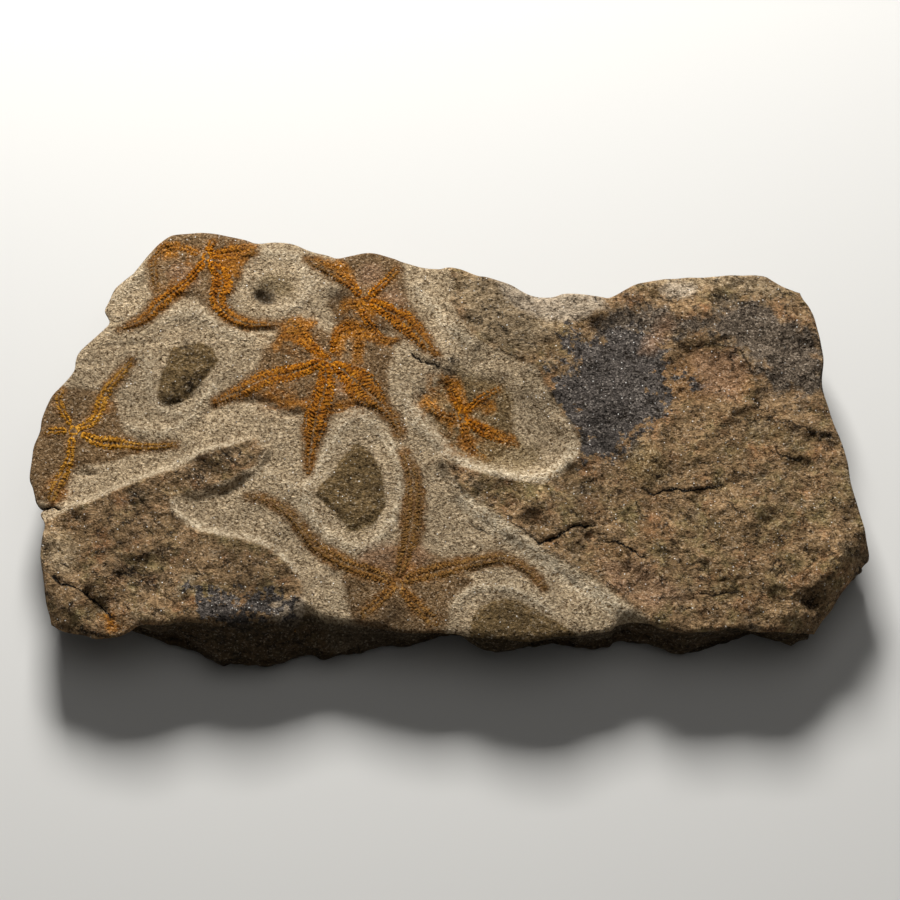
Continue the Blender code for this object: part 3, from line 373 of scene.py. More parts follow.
# Patches of the face by the name of their layer, each patch by its outline
PATCHES = {
    "dark_skin": (  # the dark iron and manganese skin
        ((34.5, 30), (34, 26), (36, 23), (28, 19.5), (28.5, 15.5), (31, 11), (35.5, 1.5), (38.5, -7.5),
         (43, -9), (45.5, -6), (53, -4.5), (54.5, -1.5), (61.5, 3), (63, 11), (63.5, 15.5), (69, 17),
         (62, 20), (60.5, 27.5), (61, 31), (52, 33), (43.5, 31)),
        ((-70.5, -49.5), (-59, -48.5), (-45, -49.5), (-45, -55), (-59, -56), (-70.5, -55)),
    ),
    "thin_skin": (  # the same skin worn thin and brown
        ((40, 29), (62, 30), (72, 31), (80.5, 29), (85, 24.5), (87.5, 18.5), (89, 14), (97.5, 11),
         (104.5, 12.5), (107, 17), (107, 27.5), (105.5, 32.5), (98, 35.5), (94, 38.5), (89.5, 40.5),
         (81, 40.5), (76.5, 38.5), (66, 36), (63, 40), (55, 41.5), (47, 40), (42, 36)),
    ),
    "red_skin": (
        ((61.5, 11), (64, 20), (67.5, 25.5), (73.5, 27), (80.5, 26), (85.5, 21.5), (87.5, 14), (83, 11),
         (71.5, 10)),
    ),
    # pale patches; those along the back edge are partly painted highlight
    "pale_skin": (
        ((13, 47.5), (20.5, 46), (32, 46), (43.5, 44), (45, 38.5), (36, 35.5), (28, 35), (18, 39.5)),
        ((60.5, 45), (65, 48), (71.5, 46), (69.5, 42.6), (63, 42.8)),
        ((-50, -49), (-41, -49), (-40, -56), (-50, -56)),
    ),
    "worn_and_highlit_skin": (  # old face painted a little paler: worn, and along the back edge a painted highlight
        ((2, 50), (20, 47), (33, 44), (33, 36), (30, 30), (22, 25), (14, 27), (8, 31), (3, 38)),
        ((58, 50), (72, 50.5), (90, 50.5), (98, 46), (92, 43), (78, 45.5), (66, 45), (58, 46)),
        ((-115, -29), (-109, -29.5), (-105, -35), (-107, -42), (-112, -41), (-115, -36)),
    ),
    "olive_skin": (
        ((-9, 12), (-4, 17), (2, 21), (8, 18.5), (15.8, 17.5), (18.6, 10.8), (17.7, 1.6), (24.8, -3),
         (25.7, -8.1), (20.4, -11.1), (10.9, -9.6), (2.4, -5), (-3, 3)),
        ((-56, 45.5), (-54, 49.5), (-49, 50.5), (-46.5, 47), (-48, 44), (-53, 44.8)),
        ((54.3, -1.5), (61.4, -4.5), (62.1, -12.1), (56.9, -15.1), (51.8, -13), (50.8, -6)),
        ((-52.8, 45.6), (-51, 49), (-46.8, 49.6), (-45, 46.5), (-46.6, 42.6), (-49.6, 42.8)),
        ((-26.9, -25.6), (-22.1, -25.6), (-19.3, -21.1), (-18.5, -18.1), (-19.9, -23.2), (-24.1, -28),
         (-28.3, -28), (-31.8, -24.4)),
    ),
    "rust_skin": (  # rust that has run out of the stars
        ((-50.6, 26.9), (-49.8, 30.3), (-47.5, 33.7), (-43.4, 36.8), (-38.1, 36), (-40.4, 33.7),
         (-40.7, 31.4), (-38, 27.8), (-34.8, 26.1), (-34.3, 24.1), (-37.4, 23.6), (-39.5, 24.7),
         (-42.7, 28.6), (-45.4, 29.5), (-48, 29.2), (-49.8, 26.4)),
        ((-52.5, 14), (-48.8, 11.8), (-42, 11.2), (-41.5, 9), (-47.7, 9.8), (-52.5, 12.4)),
        ((-35.7, 6.8), (-32.6, 10.7), (-26.9, 11.2), (-31, 8.5)),
        ((-33.8, 26.9), (-33.3, 33.7), (-30.7, 36), (-26.5, 36), (-23.9, 34.3), (-20.7, 31.4),
         (-15.5, 29.7), (-18.6, 28.1), (-21.8, 29.2), (-24.4, 30), (-24.4, 26.9), (-25.4, 23.6),
         (-27.5, 23.6), (-27, 28.6), (-28.1, 30.9), (-30.2, 30.3), (-31.2, 26.9), (-32.2, 24.7)),
        ((-32.1, 42.2), (-28.2, 42.8), (-21.8, 42.8), (-20.8, 39.9), (-21.8, 36.5), (-26, 37.1),
         (-29.2, 39.9), (-31.3, 38.2)),
        ((-39.9, 55.9), (-37.2, 55.9), (-31.4, 54.7), (-28.2, 50.1), (-27.1, 46.7), (-29.8, 47.9),
         (-33.5, 51.3), (-38.3, 53.6)),
        ((-66.2, 58.6), (-57, 59.5), (-59.8, 53.5), (-62, 49.2), (-64.9, 50.4), (-67.9, 53.5)),
        ((-1.4, 18.9), (2.9, 17.9), (3.8, 13.3), (6.7, 10.2), (4.8, 7.2), (1.4, 8.2), (0, 13.3)),
        ((-8.1, 12.8), (-4.3, 11.8), (-3.8, 9.2), (-6.2, 8.2), (-8.1, 10.2)),
        ((2.4, 4.1), (5.7, 4.1), (6.7, -2), (3.8, -3), (2.4, 1)),
        ((6.7, 5.1), (12.4, 3.1), (18.6, 0), (17.2, -2), (12.4, 0), (6.7, 2.6)),
        ((8.6, 10.2), (12.9, 12.3), (13.4, 8.7), (10.5, 7.2)),
        ((-3.3, 6.1), (1, 6.6), (2.9, 4.1), (0, 3.1)),
        ((-84.3, 59.5), (-79.1, 59.8), (-79.5, 56.1), (-83, 54.8)),
        ((-98.5, -53), (-95.1, -53), (-93.3, -57.2), (-96.1, -58.3)),
    ),
    "pink_skin": (  # and the pink stains around them
        ((-26.9, -37.6), (-24.9, -34), (-20.4, -32.2), (-15.3, -31.6), (-14.7, -39.4), (-18.4, -40.6)),
        ((-13, -37.6), (-11.3, -33.4), (-7.4, -33.1), (-5.1, -36.4), (-8.5, -39.4), (-13.6, -41.8)),
        ((42.4, -37.6), (53.7, -37.6), (67.6, -49.5), (56.3, -52.4), (45.1, -45)),
        ((69.1, 25.5), (82, 25.5), (85.6, 18.4), (81.7, 10.8), (73.1, 12.3)),
        ((54.8, 25), (56.4, 29.5), (60.2, 34), (63, 37), (64.6, 33.4), (61.6, 28.5), (58.8, 24.6)),
        ((-27, 48), (-25, 53.6), (-20.4, 53), (-19.4, 48.6), (-23, 46.6)),
        ((-20, 42), (-19.4, 46), (-15.4, 46.6), (-12.6, 42), (-15.6, 40.6)),
        ((-82, 50), (-80, 53.6), (-73.6, 53), (-73, 47), (-78, 46)),
        ((-33.6, 14), (-32, 18), (-28.4, 17.4), (-28.6, 13), (-31.4, 12.4)),
    ),
    "pit": (  # a pit in a channel, painted dark with its shade and brown with a stain
        ((-57.2, 44.2), (-55.8, 45.2), (-53.6, 44.8), (-51.6, 44), (-50.4, 41.6), (-51.8, 40.9),
         (-54.2, 41), (-56.2, 42.4)),
    ),
}
# Ridges and valleys of the scribed channels and of the old face: points, height, half width
RIDGES = (
    (((-41.8, -18.7), (-38.9, -24.4), (-34, -29.8), (-27.7, -33.4), (-22.1, -31.9), (-17.3, -26.2),
      (-14.2, -20.2), (-13.4, -14.2), (-15.4, -6.3), (-19.2, 1), (-24.6, 5.9), (-29.8, 4.9), (-33.1, -0.9),
      (-37.1, -8.1), (-41.8, -18.7)), 0.7, 1.9),
    (((-77.4, -16.3), (-79.3, -19.3), (-77.8, -22.9), (-71.5, -26.8), (-62.9, -29.8), (-54.4, -31.9),
      (-47.8, -36.1), (-43.8, -42.1), (-42, -49.5)), 0.8, 1.7),
    (((-114.9, -24.4), (-105.1, -21.1), (-93.9, -15.4), (-82.6, -10.6), (-71.3, -5.1), (-62.8, -2.7),
      (-55.4, -0.2)), 0.7, 1.6),
    (((-98.3, 41.7), (-93.2, 46.7), (-88.5, 53.5)), 0.5, 2.2),
    (((-86.6, 34.8), (-76.6, 38.5), (-70.7, 36.1), (-63.4, 32), (-54.2, 30.5)), 0.6, 2),
    (((-86.4, 27.7), (-87.4, 21.5), (-86.1, 14.4), (-83.1, 8.3), (-77.3, 7.4), (-72.5, 10.1), (-68.3, 15),
      (-64.4, 21.2)), 0.5, 1.6),
    (((-59.5, 53.5), (-54.6, 56.7), (-47.9, 56.7), (-42.9, 53.5), (-41.1, 47.3), (-43.4, 41.7),
      (-49.1, 38.9), (-56.3, 38.9)), 0.6, 2),
    (((-11, 49.8), (-5.8, 41.7), (0.6, 32.9), (8.6, 26.8)), 0.7, 1.8),
    (((-16.4, 16.9), (-10, 6.8), (-2.9, -2.4), (5.1, -8.7), (14.2, -11.8), (25.6, -13), (33.1, -8.1),
      (35.7, -1.5)), 1, 1.9),
    (((0.6, -53), (3.4, -48), (8.5, -45.3), (16.9, -45.9), (25.4, -50.1), (31.5, -54.2)), 0.7, 1.6),
    (((-94.4, 5.2), (-90.1, 2.2), (-82.9, 1.6), (-75.8, 4.6), (-70.8, 10.1)), 0.5, 1.6),
    (((-34.2, -7.5), (-36.4, -13.6), (-42.7, -16), (-53.6, -10.6), (-61.2, -13.6)), 0.4, 1.8),
    (((-71.5, 1), (-69.9, 7.1), (-66.5, 10.1)), -0.8, 1),
    (((-107.7, -10.6), (-100.3, -10.6)), -1, 0.8),
    (((-62.5, 11.4), (-53.9, 10.8), (-47.5, 7.1), (-42.4, 6.5)), -1, 1.1),
    (((-62.9, 32.9), (-54.2, 32.9), (-46.2, 32.9)), -0.7, 0.9),
    (((-83.9, 41.7), (-78.7, 44.2), (-73.4, 41.7)), -0.8, 0.9),
    (((-102.2, 27.7), (-95.1, 28.3), (-83.6, 29.2)), -0.5, 0.9),
    (((-112.2, 22.4), (-103.6, 23), (-97.8, 22.4)), -0.6, 0.7),
    (((-29.2, 11.4), (-25.2, 10.1), (-21.8, 11.1)), -0.9, 0.9),
    (((8.5, -25.6), (14.2, -29.2), (17.6, -31.6)), -0.35, 0.6),
    (((18.4, -39.1), (24, -43.5), (27.6, -48)), -0.6, 1),
    (((-33.9, -40.6), (-29.6, -46.5), (-27.6, -53)), -0.5, 1.2),
    (((-93.3, -39.1), (-84.8, -37.6), (-77.7, -39.1)), -0.8, 1.6),
    (((-110.5, -28.6), (-103.3, -33.1), (-97.5, -37.6)), 0.8, 3),
    (((-8.5, -10.6), (-9.1, -19.6), (-8.5, -27.1), (-5.7, -33.1)), -0.5, 1),
    (((14.2, -16.6), (31.2, -21.1), (42.6, -19.6)), 0.6, 3),
    (((42.5, -31.6), (53.7, -37.6), (67.7, -46.5)), 0.7, 3.5),
    (((53.9, -25.6), (70.9, -28.6), (90.8, -25.6)), 0.6, 4),
    (((69.1, 26.1), (80.6, 26.1), (86.8, 19.4), (85.4, 10.8)), 0.8, 2.2),
    (((48.4, -10.6), (57.1, -6), (71.3, -9)), 0.5, 3),
    (((70.7, -37.6), (79, -46.5), (95.8, -49.5)), -0.6, 3),
    (((94.4, 4.6), (104.4, 1.6), (110.8, -1.5)), 0.8, 2.6),
    (((5.8, 41.7), (14.4, 38.5), (23.1, 32.3)), 0.6, 3),
)
# Level strips painted palest: freshly cut rock, and painted highlight along the lit rims: points, strength,
# half width
FRESH_CUTS_AND_HIGHLIGHTS = (
    (((-8, 5), (-2.9, -2.4), (5.1, -8.7), (14.2, -11.8), (25.6, -13), (33.1, -8.1), (36.5, 0)), 1.2, 2.2),
    (((3, -17.5), (4.3, -19.3), (15, -28.2), (24.2, -35.5), (33.3, -41.9), (44.7, -50),
      (53, -54.9)), 1.1, 2.4),
)
# Rusty stains, then dark stains and painted shade in pits and under rims: x, y, radius
RUST_STAINS = (
    (-63, 56, 5), (-77, 53, 3), (-46, 30, 6), (-49.5, 12, 5), (-43, 11, 4), (-28, 12, 5), (-7, 10, 4),
    (-4, 15, 4), (4, 0, 6), (-22, 40, 5), (-93.5, -56, 3), (-79, 47, 3), (-112, -17, 3.5), (-13, -40, 4),
    (-99, 10, 3),
)
DARK_STAINS_AND_SHADE = (
    (0.6, 23.4, 2), (102, -49, 3), (108.5, -1, 2.5), (-90.5, -41, 3.5), (-85, -44, 3), (-89.5, -18.5, 3),
    (-76, 27, 2.5), (-80.5, 11, 2.5), (-74.5, 16, 2.5), (-8.3, 13.6, 2), (-64, -7, 3), (-71, -12, 4),
    (77, 43, 2), (-4, 21.8, 2.4), (-0.5, 20.2, 2.2),
)

# Areas painted brighter and dimmer, partly the rock's own tone and partly painted light and shade: x, y,
# radius, change
TONES_AND_PAINTED_LIGHT = (
    (12, 40, 14, -0.05), (72, 47, 8, 0.25), (-58, 36, 12, 0.2), (-80, 42, 10, 0.1), (-92, 40, 8, 0.12),
    (-88, 8, 9, -0.15), (-27, 5, 8, -0.12), (24, 5, 10, -0.2), (3, -29, 9, -0.2), (6, 23, 5, -0.2),
    (-9, 19, 5, -0.2), (36, -45, 8, 0.12), (-111, -27, 8, 0.2), (-92, -40, 12, -0.15),
    (-55, -38, 12, -0.12), (85, 12, 16, 0.05), (55, -33, 14, 0.15), (108, -15, 10, 0.12),
    (15, -14, 12, 0.2), (55, -17, 8, -0.06), (-109, -34, 7, 0.12), (-70, -33, 12, 0.05), (80, -15, 20, 0.1),
    (94, 24, 10, 0.15), (-19, -34, 6, -0.1), (-76, 56, 9, 0.28), (-24, 47, 7, 0.3), (-106, 1, 10, 0.22),
    (-3, -47, 5, 0.25), (-16, -53, 4, -0.4), (-30.5, 15.5, 2.5, 0.3), (90, 44, 9, 0.08), (94, -49, 9, 0.25),
    (-66, -13, 8, 0.25), (-42, 31, 6, 0.2), (-44, 25, 5, 0.15), (22, -11, 8, 0.15), (-32, 44, 4, -0.65),
    (-5, 10, 3, 0.75), (48, -43, 8, 0.15), (-107, 13.7, 6, -0.22), (-93.5, 14.5, 4, -0.22),
    (-55, -45, 9, -0.15), (45.7, -1.5, 5, -0.3), (108.5, -38, 6, 0.45), (55, -9.5, 4.5, 0.45),
    (-29.3, 26.8, 2.5, 0.55), (94, 31, 5, 0.12), (87, 37.5, 5, -0.18), (16, -53, 6, -0.12),
    (11, 11.7, 3, -0.18), (-83, 39.8, 4, 0.12), (74, 26.5, 4, 0.15), (37, -19.7, 9, -0.2),
    (75.6, 19.7, 7, -0.2), (-105.6, -31.8, 8, -0.22), (-75.6, -30.3, 8, -0.12), (14.3, 36.4, 8, -0.2),
    (-88.5, 33.2, 6, -0.2), (-31.4, 49, 3.5, 0.35), (-48.5, -33.3, 6, -0.12), (-55, -48, 8, -0.22),
    (-23.5, 50, 4, -0.15), (-77.5, 50, 4, -0.2), (-34, 45.5, 2.5, -0.2), (-68, 40, 4, 0.1),
    (-22, -35, 4, -0.15), (-74.7, 23, 6, 0.2),
)

# Sharp cracks at the foot of ledges and in the skin, cut into the face and painted dark with their shade:
# points, depth, width
CRACKS = (
    (LONG_STEP, 1.3, 0.75),
    (((20.5, -29.5), (25, -32), (29.5, -31), (32.5, -28.5), (37, -27.2), (42, -28)), 1.7, 0.95),
    (((14.5, -22.5), (18.5, -26.5), (23.5, -31)), 0.9, 0.6),
    (((42.5, -31.5), (48, -33), (53.5, -36), (56, -38)), 1.2, 0.8),
    (((-11.8, 26.3), (-9, 24.3), (-6.5, 22.5), (-2.5, 21.2)), 1.6, 1.3),
    (((-0.5, -11.5), (2, -15), (5, -18.5)), 0.7, 0.6),
    (((4, -25.5), (9, -27.5), (14, -30.5)), 0.8, 0.7),
    (((-113.5, -42), (-108.5, -44.5), (-103.5, -47), (-98.5, -51), (-94, -55)), 1.9, 0.9),
    (((-97, -42.5), (-91, -41.2), (-86.5, -41.5), (-82.5, -42.5)), 0.9, 0.7),
    (((-119.5, -20), (-115.5, -21.3), (-110, -21.8)), 1.8, 0.9),
    (((69, -46), (73, -47.8), (78, -47.2), (84, -47)), 1, 0.7),
    (((78, -19.5), (80.5, -22), (82.5, -25.5)), 0.9, 0.6),
    (((75, 44), (79.5, 42.5)), 0.9, 0.5),
    (((92.5, -3), (95, -6.8), (103, -7)), 1, 0.6),
    (((88.5, 6), (96, 3.5), (103, 0.8), (111, -0.5)), 0.9, 0.7),
    (RIGHT_STEP, 0.8, 0.8),
    (((28, -38), (33, -42), (38, -46)), 0.6, 0.6),
    (((48.5, -20), (51, -23), (47, -25.5)), 0.6, 0.6),
    (((61, -23), (63.5, -26)), 0.8, 0.5),
    (((-93.5, -16.5), (-89.5, -18), (-86, -20.5)), 0.8, 0.8),
    (((-66, -3.8), (-62.5, -7), (-58.5, -10)), 0.9, 0.9),
    (((60, 5), (57, -1), (58, -7)), 0.5, 0.6),
    (((69, -8), (75, -8.6), (80, -6.5)), 0.7, 0.6),
)

# ---------------------------------------------------------------- fine shape of the rock face (mm)
STIPPLE = 0.30          # dents that the scribe leaves in the channels
LAMINA = 0.4            # height of the thin beds that break back in steps on the old surface
LAMINA_SPACING = 6.5
GRAIN_HEIGHT = 0.34     # lumps of sand on the old surface
DRAWN_OUT = np.array([0.8, 1.0])    # beds and sand are longer along x
CREASE = 1.2            # creases and ridges where the old surface has broken
CRISP_DROP = 1.0        # wear along the upper edge, sharper than the solid's
CRISP_RIM = 0.8         # and the width of that wear
CRISP_FADE = 1.5        # the fine forms fade out this near the edge
HIGHEST = 26.2          # above this the lumps are levelled off
LEVELLING = 0.55        # and reach this much higher at most
PIT_DEPTH = 0.8         # of the dark pit in a channel
HOLLOW_CELLS = 3        # painted shade darkens a hollow, which is what lies below the mean of this many cells around it
STORED_REACH = 12       # distances are kept for the finish as far as this
CARRIED_DOWN = ("island", "dark_stain_and_shade", "tone_and_light", "crack", "opening")    # these don't fade down the sides
# Layers, chips, ribs of the beds and grit of the broken sides: height, length, how many there are from
# the upper edge to the table, seed
SIDE_FORMS = ((2.4, 30, 5.5, 0), (1.7, 8, 3, 20), (1.4, 21, 13, 50), (0.5, 2.6, 9, 70))


def broken_beds(xy, spacing, seed):
    """Thin beds broken back in steps that face the front edge: a rounded saw-tooth, -0.5 to 0.5."""
    waver = 2.6 * roughness(xy * DRAWN_OUT, spacing * 1.8, seed)
    bent = xy[:, 1] / spacing + waver + 0.6 * roughness(xy, 2.7, seed + 5)
    t = bent - np.floor(bent)
    return ease(t / 0.14) - 0.5 - np.clip((t - 0.14) / 0.86, 0, 1)


def ridged(xy):
    """Height of the ridges and valleys, and of the ridges alone."""
    high = np.zeros(len(xy))
    low = np.zeros(len(xy))
    waver = 0.8 * roughness(xy, 6, 131.0)[:, None]
    for line, height, width in RIDGES:
        distance, _, along = nearest_on_line(xy + waver, smooth_line(line, 4))
        closed = line[0] == line[-1]
        fade = 1.0 if closed else tapered(along, 9)
        form = height * fade * np.exp(-(distance / width) ** 2)
        high = np.maximum(high, form)
        low = np.minimum(low, form)
    return high + low, high


def fresh_cut_and_highlight(xy):
    """How pale each point is painted: freshly cut rock, and painted highlight on the ridges and along the
    palest strips.
    """
    fresh_and_highlight = ridged(xy)[1]
    for line, strength, width in FRESH_CUTS_AND_HIGHLIGHTS:
        distance, _, along = nearest_on_line(xy, smooth_line(line, 4))
        fresh_and_highlight = np.maximum(fresh_and_highlight, strength * tapered(along, 9) * np.exp(-(distance / width) ** 2))
    return fresh_and_highlight


def cracked(xy):
    """How far sharp cracks cut into the face, the signed distance to the nearest and how open it is."""
    depth = np.zeros(len(xy))
    nearest = np.full(len(xy), float(STORED_REACH))
    opening = np.zeros(len(xy))
    waver = layered(xy, (0.9, 3.3, 91.0), (0.7, 1.4, 93.0))
    wavering = xy + waver[:, None] * np.array([0.4, 1.0])
    for line, deep, wide in CRACKS:
        distance, side, along = nearest_on_line(wavering, smooth_line(line, 4))
        closing = np.sqrt(tapered(along, 5))
        depth = np.maximum(depth, 0.5 * deep * closing * np.exp(-(distance / (0.5 * wide)) ** 2))
        closer = distance < np.abs(nearest)
        nearest = np.where(closer, distance * side, nearest)
        opening = np.where(closer, deep * closing, opening)
    return depth, nearest, opening


def stained_and_shaded(xy, stains):
    """How strongly round patches of stain, and of painted shade, colour each point, 0 to 1."""
    return np.max([swell(xy, *dark_stain_and_shade) for dark_stain_and_shade in stains], axis=0)


def toned_and_lit(xy):
    """How much brighter or dimmer each point is painted: the rock's own tone, and painted light and shade.
    """
    return sum(amount * swell(xy, x, y, radius) for x, y, radius, amount in TONES_AND_PAINTED_LIGHT)


def face_zones(xy):
    """For every point of the face: the signed distances and strengths that its finish is mixed from."""
    depth, nearest, opening = cracked(xy)
    stars = arms_reach(xy)
    zones = {name: deepest(xy, outlines) for name, outlines in PATCHES.items()}
    zones.update({
        "scribed": depth_inside(xy, PREPARED),
        "island": deepest(xy, ISLANDS),
        "mound": np.maximum(deepest(xy, MOUNDS), 1.0 - stars),
        "star": -stars,
        "fresh_and_highlight": fresh_cut_and_highlight(xy),
        "rust": stained_and_shaded(xy, RUST_STAINS),
        "dark_stain_and_shade": stained_and_shaded(xy, DARK_STAINS_AND_SHADE),
        "tone_and_light": toned_and_lit(xy),
        "cut": depth,
        "crack": nearest,
        "opening": opening,
    })
    return zones


def fine_relief(xy, zones):
    """Height of the small forms: scribe dents in the channels, sand and broken beds elsewhere."""
    channel = ease(zones["scribed"] / 2 + 0.5) * (1 - ease(zones["island"] / 2 + 0.5))
    channel *= 1 - 0.8 * ease(zones["mound"] / 1.5)
    mound = ease(zones["mound"] / 1.5) * ease(zones["scribed"] / 2)
    plain = np.clip(1 - channel - mound, 0, 1)
    dents = layered(xy, (0.6, 1.35, 31.0), (0.6, 2.4, 17.0), (0.5, 6, 19.0))
    beds = broken_beds(xy, LAMINA_SPACING, 41.0) * ease(1.6 * roughness(xy, 17, 61.0) + 0.7)
    thin_beds = broken_beds(xy, LAMINA_SPACING / 2.6, 45.0) * ease(1.8 * roughness(xy, 11, 66.0) + 0.6)
    creases = np.abs(roughness(xy, 13, 95.0)) - 0.8 * np.abs(roughness(xy, 7.5, 97.0))
    creases = creases + 0.5 * roughness(xy, 4, 99.0)
    sand = roughness(xy * DRAWN_OUT, 1.4, 77.0) + 0.8 * roughness(xy, 2.9, 79.0)
    # The dark skin and the islands are smoother than the rest of the old face
    skin = 1 - 0.45 * ease(zones["dark_skin"] / 3 + 0.5)
    flat = 1 - 0.6 * ease(zones["island"] / 2)
    broken = LAMINA * beds + 0.5 * LAMINA * thin_beds + CREASE * creases
    rock = plain * skin * (flat * broken + GRAIN_HEIGHT * sand)
    web = mound * (0.14 * sand + 0.3 * roughness(xy, 4.5, 83.0) + 0.25 * creases)
    sunk = zones["cut"] + PIT_DEPTH * ease(zones["pit"] / 2 + 0.3)
    return STIPPLE * channel * dents + rock + web - sunk + ridged(xy)[0] * (1 - 0.8 * mound)


# ---------------------------------------------------------------- the slab
def face_grid():
    """Plan of the upper face as rows of points from the front edge to the back one."""
    back, front = (resample(smooth_line(edge), GRID_LONG + 1) for edge in (BACK_EDGE, FRONT_EDGE))
    left, right = (resample(smooth_line(edge), GRID_ACROSS + 1)[::-1] for edge in (LEFT_EDGE, RIGHT_EDGE))
    u = np.linspace(0, 1, GRID_LONG + 1)[None, :, None]
    w = np.linspace(0, 1, GRID_ACROSS + 1)[:, None, None]
    across = (1 - w) * front[None] + w * back[None]
    along = (1 - u) * left[:, None] + u * right[:, None]
    ends = ((1 - w) * ((1 - u) * front[0] + u * front[-1]) + w * ((1 - u) * back[0] + u * back[-1]))
    return across + along - ends


def side_offset(x, y, facing, fall):
    """How far the side stands out at a fall of 0 to 1 below the upper edge."""
    foot_x, foot_out = zip(*FRONT_FOOT)
    front = ease(-facing[1] * 1.6 - 0.3)
    foot = front * np.interp(x, foot_x, foot_out) + (1 - front) * OTHER_FOOT
    lean = foot * min(1.0, fall / LEAN_ENDS) ** 0.8
    chipped = sum(height * noise.noise(Vector((x / size, y / size, fall * lines + seed)))
                  for height, size, lines, seed in SIDE_FORMS)
    return lean + chipped * min(1.0, fall * 4)


def side_rows(rim):
    """Rows of points from the rim to the table, leaned and chipped as the sides are broken."""
    # Which way the side faces is taken over a thirtieth of the way round, so that it turns slowly
    reach = len(rim) // 60
    run = np.roll(rim, -reach, axis=0) - np.roll(rim, reach, axis=0)
    facing = np.stack([run[:, 1], -run[:, 0]], axis=1)
    facing /= np.linalg.norm(facing, axis=1)[:, None]
    rows = []
    for row in range(1, SIDE_ROWS + 1):
        fall = row / SIDE_ROWS
        z = rim[:, 2] * (1 - fall)
        out = np.array([side_offset(x, y, f, fall) for (x, y, _), f in zip(rim, facing)])
        out -= 0.8 * np.clip(UNDERSIDE_BEVEL - z, 0, None)
        rows.append(np.column_stack([rim[:, :2] + facing * out[:, None], z]))
    return rows


def set_values(mesh, name, values):
    """Stores one number for every vertex, for the finish to read."""
    layer = mesh.attributes.new(name, "FLOAT", "POINT")
    layer.data.foreach_set("value", np.asarray(values, dtype=np.float32))


def slab_faces(number, ring):
    """The cells of the upper face, the strips down the sides and the underside, as corner numbers."""
    cells = np.stack([number[:-1, :-1], number[:-1, 1:], number[1:, 1:], number[1:, :-1]], axis=-1)
    faces = cells.reshape(-1, 4).tolist()
    upper = ring
    for row in range(SIDE_ROWS):
        lower = number.size + row * len(ring) + np.arange(len(ring))
        faces += np.stack([upper, lower, np.roll(lower, -1), np.roll(upper, -1)], axis=-1).tolist()
        upper = lower
    return faces + [upper[::-1].tolist()]


def store_zones(mesh, zones, ring):
    """Stores what the finish is mixed from, carried on down the sides from the rim."""
    fall = np.repeat(np.arange(1, SIDE_ROWS + 1), len(ring))
    for name, values in zones.items():
        down = np.tile(values[ring], SIDE_ROWS)
        if name not in CARRIED_DOWN:
            down = down - ROW_HEIGHT * fall
        values = np.concatenate([values, down])
        set_values(mesh, name, np.clip(values, -STORED_REACH, STORED_REACH))


def make_slab():
    """The rock: its scribed and weathered face, broken sides and flat foot."""
    plan = face_grid()
    rows, columns = plan.shape[:2]
    xy = plan.reshape(-1, 2)
    zones = face_zones(xy)
    number = np.arange(rows * columns).reshape(rows, columns)
    ring = np.concatenate([number[0, :-1], number[:-1, -1], number[-1, :0:-1], number[:0:-1, 0]])
    outline = xy[ring[::3]].tolist()
    edge = depth_inside(xy, outline)
    z = top_height(xy) - CRISP_DROP * np.exp(-np.clip(edge, 0, None) / CRISP_RIM)
    z += fine_relief(xy, zones) * ease(edge / CRISP_FADE + 0.3)
    above = np.clip(z - HIGHEST, 0, None)
    z -= above - LEVELLING * np.tanh(above / LEVELLING)
    face = np.column_stack([xy, z])
    verts = np.vstack([face] + side_rows(face[ring]))
    verts[-len(ring):, 2] = 0
    mesh = bpy.data.meshes.new("sandstone_slab_rock")
    mesh.from_pydata((verts * MM).tolist(), [], slab_faces(number, ring))
    mesh.validate()

    store_zones(mesh, zones, ring)
    below = len(verts) - len(face)
    height = z.reshape(rows, columns)
    # How far each point lies below the face around it, for the painted shade in hollows
    hollow_shade = smoothed(height, HOLLOW_CELLS) - height
    set_values(mesh, "hollow_shade", np.concatenate([hollow_shade.ravel(), np.zeros(below)]))
    set_values(mesh, "side", np.concatenate([np.zeros(len(face)), np.ones(below)]))
    for polygon in mesh.polygons:
        polygon.use_smooth = len(polygon.vertices) == 4
    return mesh


def smoothed(height, reach):
    """The same grid of heights with lumps smaller than the reach (in cells) levelled out."""
    padded = np.pad(height, reach, mode="edge")
    total = np.zeros_like(height)
    rows, columns = height.shape
    for i in range(2 * reach + 1):
        for j in range(2 * reach + 1):
            total += padded[i:i + rows, j:j + columns]
    return total / (2 * reach + 1) ** 2


# ---------------------------------------------------------------- the stars
# How worn each arm is at its mouth and at its tip, where it isn't as usual: star and arm, then 0 to 1
USUAL_WEAR = (0.0, 0.55)
WEAR = {
    ("brittle_star_front", 0): (0.1, 1.3), ("brittle_star_front", 1): (0.35, 0.9),
    ("brittle_star_front", 2): (0.1, 1.4), ("brittle_star_centre", 3): (0.0, 0.9),
    ("brittle_star_top", 0): (0.1, 1.1), ("brittle_star_top", 3): (0.3, 0.9),
    ("brittle_star_top_left", 1): (0.3, 1.0), ("brittle_star_right", 2): (0.2, 0.9),
    ("brittle_star_right", 3): (0.3, 0.9),
}
STAR_CELL = 0.2         # grid that a star's body is shaped on
STAR_MARGIN = 6         # and how far it goes past the ends of the arms
ARM_RELIEF = 0.12       # an arm's back above the rock
ROW_RELIEF = 0.12       # and its two rows of plates above that
GROOVE_DEPTH = 0.16     # of the groove between the rows
GROOVE_WIDTH = 0.22     # and its half width
JOINT_DEPTH = 0.18      # of the joints between its plates
WEAR_DEPTH = 0.22       # lost where an arm is fully worn
MOUTH_DEPTH = 0.5
EDGE_DIVE = 0.5         # a star's edge passes this far under the rock around it
BODY_THICKNESS = 0.9
DISC_RADIUS = 1.7
PLATE_PITCH = 1.12      # plates along an arm
